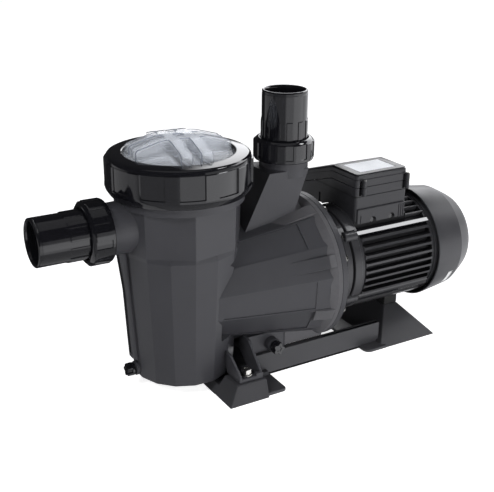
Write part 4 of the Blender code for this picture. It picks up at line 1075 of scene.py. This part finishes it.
def build_base():
    base = slab("pump_base", (0.060, 0.101), (-0.116, 0.116), 0.0050, 0.005, (270, 0))
    base.data.materials.append(BASE)
    pieces = [frustum("front_tie", (0.0102, 0.097, -0.074, 0.074, 0.0),
                      (0.0180, 0.097, -0.074, 0.074, 0.0110))]
    for side in (-1, 1):
        foot = frustum(f"front_foot{side}", (0.010, 0.071, *sorted((side * 0.120, side * 0.0725)), 0),
                       (0.027, 0.0725, *sorted((side * 0.1085, side * 0.0728)), 0.0235))
        pieces.append(bevelled(foot, 0.0014, 30, 3))
        pieces.append(block(f"beam{side}", (0.0715, 0.298), (side * 0.056, side * 0.066), (0, 0.0355),
                            edge=0.0010))
        pieces.append(block(f"beam_foot{side}", (0.0715, 0.298), (side * 0.0405, side * 0.0662), (0, 0.0035)))
        web = flat_outline([(0.1965, 0.0345), (0.2975, 0.0345), (0.2975, 0.0600), (0.1965, 0.0440)],
                           side * 0.0645)
        pieces.append(prism(f"web{side}", web, (0, -side * 0.0040, 0)))
    pieces.append(block("floor_plate", (0.0970, 0.2050), (-0.0565, 0.0565), (0, 0.0035)))
    rear = frustum("rear_foot", (0.288, 0.394, -0.085, 0.085, 0), (0.334, 0.3585, -0.031, 0.031, 0.041))
    pieces.append(bevelled(rear, 0.0014, 20, 3))
    pieces.append(slab("rear_slab", (0.262, 0.300), (-0.085, 0.085), 0.0046, 0.010, (180, 90)))
    union(base, *pieces)
    shown(base, "base", 28)
    support = block("support", (0.334, 0.3585), (-0.031, 0.031), (0.0413, 0.0590), RUBBER, 0.0012)
    cut(support, rod("support_saddle", ABOUT_MOTOR, 0.0803, 0.320, 0.370, 96))
    shown(support, "motor_support", 30)
    for name in ("near", "far"):
        low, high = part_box(f"base_washer_{name}")
        basis = (Vector(((low.x + high.x) / 2, (low.y + high.y) / 2, 0)), Z, X, Y)
        washer = lathe(f"foot_washer_{name}", [
            (0.0043, high.z), (0.0077, high.z), (0.0080, high.z - 0.0003), (0.0080, low.z), (0.0043, low.z),
        ], basis, STEEL, 48)
        shown(washer, f"base_washer_{name}", 40)
        seat = high.z + 0.0003
        head = hexagon(f"foot_bolt_{name}", basis, 0.0072, seat + 0.0019, seat + 0.0072, STEEL)
        union(head, lathe("spring_washer", [
            (0, seat + 0.0022), (0.0050, seat + 0.0022), (0.0062, seat + 0.0018), (0.0065, seat + 0.0015),
            (0.0065, seat + 0.0003), (0.0062, seat), (0.0039, seat), (0.0039, seat - 0.0220),
            (0, seat - 0.0220),
        ], basis, None, 40))
        dish = lathe("dish", [(0, seat + 0.0080), (0.0034, seat + 0.0080), (0.0030, seat + 0.0066),
                              (0, seat + 0.0064)], basis, None, 24)
        cut(head, dish)
        shown(head, f"base_bolt_{name}", 30)


def build_flange():
    """The plate that closes the volute against the motor, and its bolts."""
    plate = lathe("volute_back_plate", [
        (0.1066, 0.2045), (0.1070, 0.2041), (0.1070, 0.1962), (0.1066, 0.1958), (0.0887, 0.1958),
        (0.0887, 0.1927), (0.0846, 0.1927), (0.0846, 0.1882), (0.0887, 0.1882), (0.0887, 0.1840),
        (0.0720, 0.1840), (0.0700, 0.1700), (0.0240, 0.1680), (0.0193, 0.1680), (0.0193, 0.1843),
        (0.0110, 0.1843), (0.0110, 0.1900), (0.0300, 0.1900), (0.0300, 0.1760), (0.0640, 0.1780),
        (0.0800, 0.1960), (0.0800, 0.2045)], ABOUT_MOTOR, HOUSING, 120)
    shown(plate, "seal_flange", 34)
    for index in range(8):
        basis = shifted(ABOUT_MOTOR, FLANGE_BOLT_CIRCLE, flange_bolt_turn(index))
        seat = 0.2048
        bolt = hexagon(f"volute_bolt_{index + 1}", basis, 0.0052, seat + 0.0006, seat + 0.0045, STEEL)
        union(bolt, lathe("collar", [
            (0, seat + 0.0010), (0.0058, seat + 0.0006), (0.0060, seat), (0.0028, seat),
            (0.0028, seat - 0.0320), (0, seat - 0.0320)], basis, None, 32))
        shown(bolt, f"flange_bolt_{index + 1}", 30)


build_housing()
build_ring()
build_lid()
build_basket()
build_union("suction", ABOUT_SUCTION, SUCTION_PORT, TANK_X - CAD_BOUNDS[0][0], 10, 15)
build_union("discharge", ABOUT_DISCHARGE, DISCHARGE_PORT, CAD_BOUNDS[1][2], 23.5, 11)
build_drain_plug("strainer_drain", DRAIN_TANK, DRAIN_FACE)
build_drain_plug("volute_drain", DRAIN_VOLUTE, VOLUTE_DRAIN_FACE)
build_flange()
build_motor_frame()
build_front_shield()
build_rear()
build_terminal_box()
build_base()


# --- Studio ------------------------------------------------------------------------------------

FLOOR_SEEN = 0.80         # the floor's own glow to the camera
FLOOR_GLOW = 0.26         # and to the pump
DIFFUSE_SHARE = 0.10      # how much of the reflected studio also lights the pump
REFLECTED_DARK = 0.03
# Patches of the reflected studio: strength, azimuth and height in degrees, softness of the edges.
REFLECTED = (
    (1.2, (-117, 60), (-42, 0), 5),
    (0.4, (-117, 60), (-89, -42), 5),
    (0.6, (-75, -20), (-30, 14), 4),
    (0.35, (-176, -118), (-89, 0), 4),
    (0.6, (120, 178), (-89, 0), 4),
    (3.2, (-18, 61), (8, 36), 3),
    (11.0, (-28, -8), (45, 56), 2),
    (0.3, (-170, 170), (62, 89), 3),
)

def build_floor():
    """A pale floor that looks white, keeps a faint shadow, and lights the pump only a little."""
    builder = bmesh.new()
    bmesh.ops.create_grid(builder, x_segments=2, y_segments=2, size=12.0)
    floor = to_object("studio_floor", builder)
    floor.location.z = -0.0002
    made = surface("studio_floor", (0.86, 0.86, 0.86), 0.8, mottle=0.01, scale=2, grain=0.0)
    tree = made.node_tree
    shader = tree.nodes["Principled BSDF"]
    shader.inputs["Emission Color"].default_value = (1, 1, 1, 1)
    paths = tree.nodes.new("ShaderNodeLightPath")
    glow = tree.nodes.new("ShaderNodeMath")
    glow.operation = "MULTIPLY_ADD"
    tree.links.new(paths.outputs["Is Camera Ray"], glow.inputs[0])
    glow.inputs[1].default_value = FLOOR_SEEN - FLOOR_GLOW
    glow.inputs[2].default_value = FLOOR_GLOW
    tree.links.new(glow.outputs[0], shader.inputs["Emission Strength"])
    floor.data.materials.append(made)
    floor.visible_glossy = False


def area_light(name, place_at, target, width, height, power):
    """A soft light that neither the camera nor a reflection sees."""
    data = bpy.data.lights.new(name, "AREA")
    data.shape = "RECTANGLE"
    data.size = width
    data.size_y = height
    data.energy = power
    light = bpy.data.objects.new(name, data)
    light.location = place_at
    light.rotation_euler = (Vector(place_at) - Vector(target)).to_track_quat("Z", "Y").to_euler()
    light.visible_camera = False
    light.visible_glossy = False
    bpy.context.scene.collection.objects.link(light)


def spot_light(name, place_at, spread, power):
    """A narrow light pointing straight down."""
    data = bpy.data.lights.new(name, "SPOT")
    data.energy = power
    data.spot_size = radians(spread)
    data.spot_blend = 0.3
    data.shadow_soft_size = 0.05
    light = bpy.data.objects.new(name, data)
    light.location = place_at
    light.visible_glossy = False
    bpy.context.scene.collection.objects.link(light)


def build_world():
    """The studio as reflections see it: the patches in REFLECTED on a dark surround."""
    world = bpy.data.worlds.new("studio")
    world.use_nodes = True
    bpy.context.scene.world = world
    tree = world.node_tree
    tree.nodes.clear()
    coords = tree.nodes.new("ShaderNodeTexCoord")

    def maths(operation, *values):
        made = tree.nodes.new("ShaderNodeMath")
        made.operation = operation
        for index, value in enumerate(values):
            if isinstance(value, (int, float)):
                made.inputs[index].default_value = value
            else:
                tree.links.new(value, made.inputs[index])
        return made.outputs[0]

    def ramp(value, low, high):
        made = tree.nodes.new("ShaderNodeMapRange")
        made.interpolation_type = "SMOOTHSTEP"
        tree.links.new(value, made.inputs["Value"])
        made.inputs["From Min"].default_value = low
        made.inputs["From Max"].default_value = high
        return made.outputs[0]

    split = tree.nodes.new("ShaderNodeSeparateXYZ")
    tree.links.new(coords.outputs["Generated"], split.inputs[0])
    x, y, z = split.outputs
    azimuth = maths("MULTIPLY", maths("ARCTAN2", y, x), 180 / pi)
    height = maths("MULTIPLY", maths("ARCSINE", z), 180 / pi)

    def band(value, low, high, soft):
        return maths("MULTIPLY", ramp(value, low - soft, low + soft), ramp(value, high + soft, high - soft))

    total = None
    for strength, (west, east), (low, high), soft in REFLECTED:
        piece = maths("MULTIPLY", band(azimuth, west, east, soft), band(height, low, high, soft * 0.6))
        piece = maths("MULTIPLY", piece, strength)
        total = piece if total is None else maths("ADD", total, piece)
    total = maths("ADD", total, REFLECTED_DARK)
    paths = tree.nodes.new("ShaderNodeLightPath")
    total = maths("MULTIPLY", total, maths("SUBTRACT", 1.0, maths("MULTIPLY", paths.outputs["Is Diffuse Ray"],
                                                                  1 - DIFFUSE_SHARE)))
    total = maths("MAXIMUM", total, paths.outputs["Is Camera Ray"])
    background = tree.nodes.new("ShaderNodeBackground")
    background.inputs["Color"].default_value = (0.97, 0.975, 1.0, 1)
    tree.links.new(total, background.inputs["Strength"])
    output = tree.nodes.new("ShaderNodeOutputWorld")
    tree.links.new(background.outputs[0], output.inputs[0])


build_floor()
build_world()
area_light("front_sheet", (0.25, -1.05, 0.03), (0.05, 0, 0.45), 1.6, 0.9, 12)
area_light("front_low", (0.05, -1.7, 0.62), (0.15, 0, 0.15), 1.0, 0.5, 10)
area_light("right_panel", (1.9, -0.3, 0.55), (0.1, 0, 0.2), 1.4, 0.9, 3)
area_light("left_high", (-1.6, -0.5, 1.7), (0, 0, 0.15), 0.8, 0.8, 26)
spot_light("lid_spot", (TANK_X, 0, 1.6), 6.6, 60)
bpy.context.scene.view_settings.view_transform = "Standard"
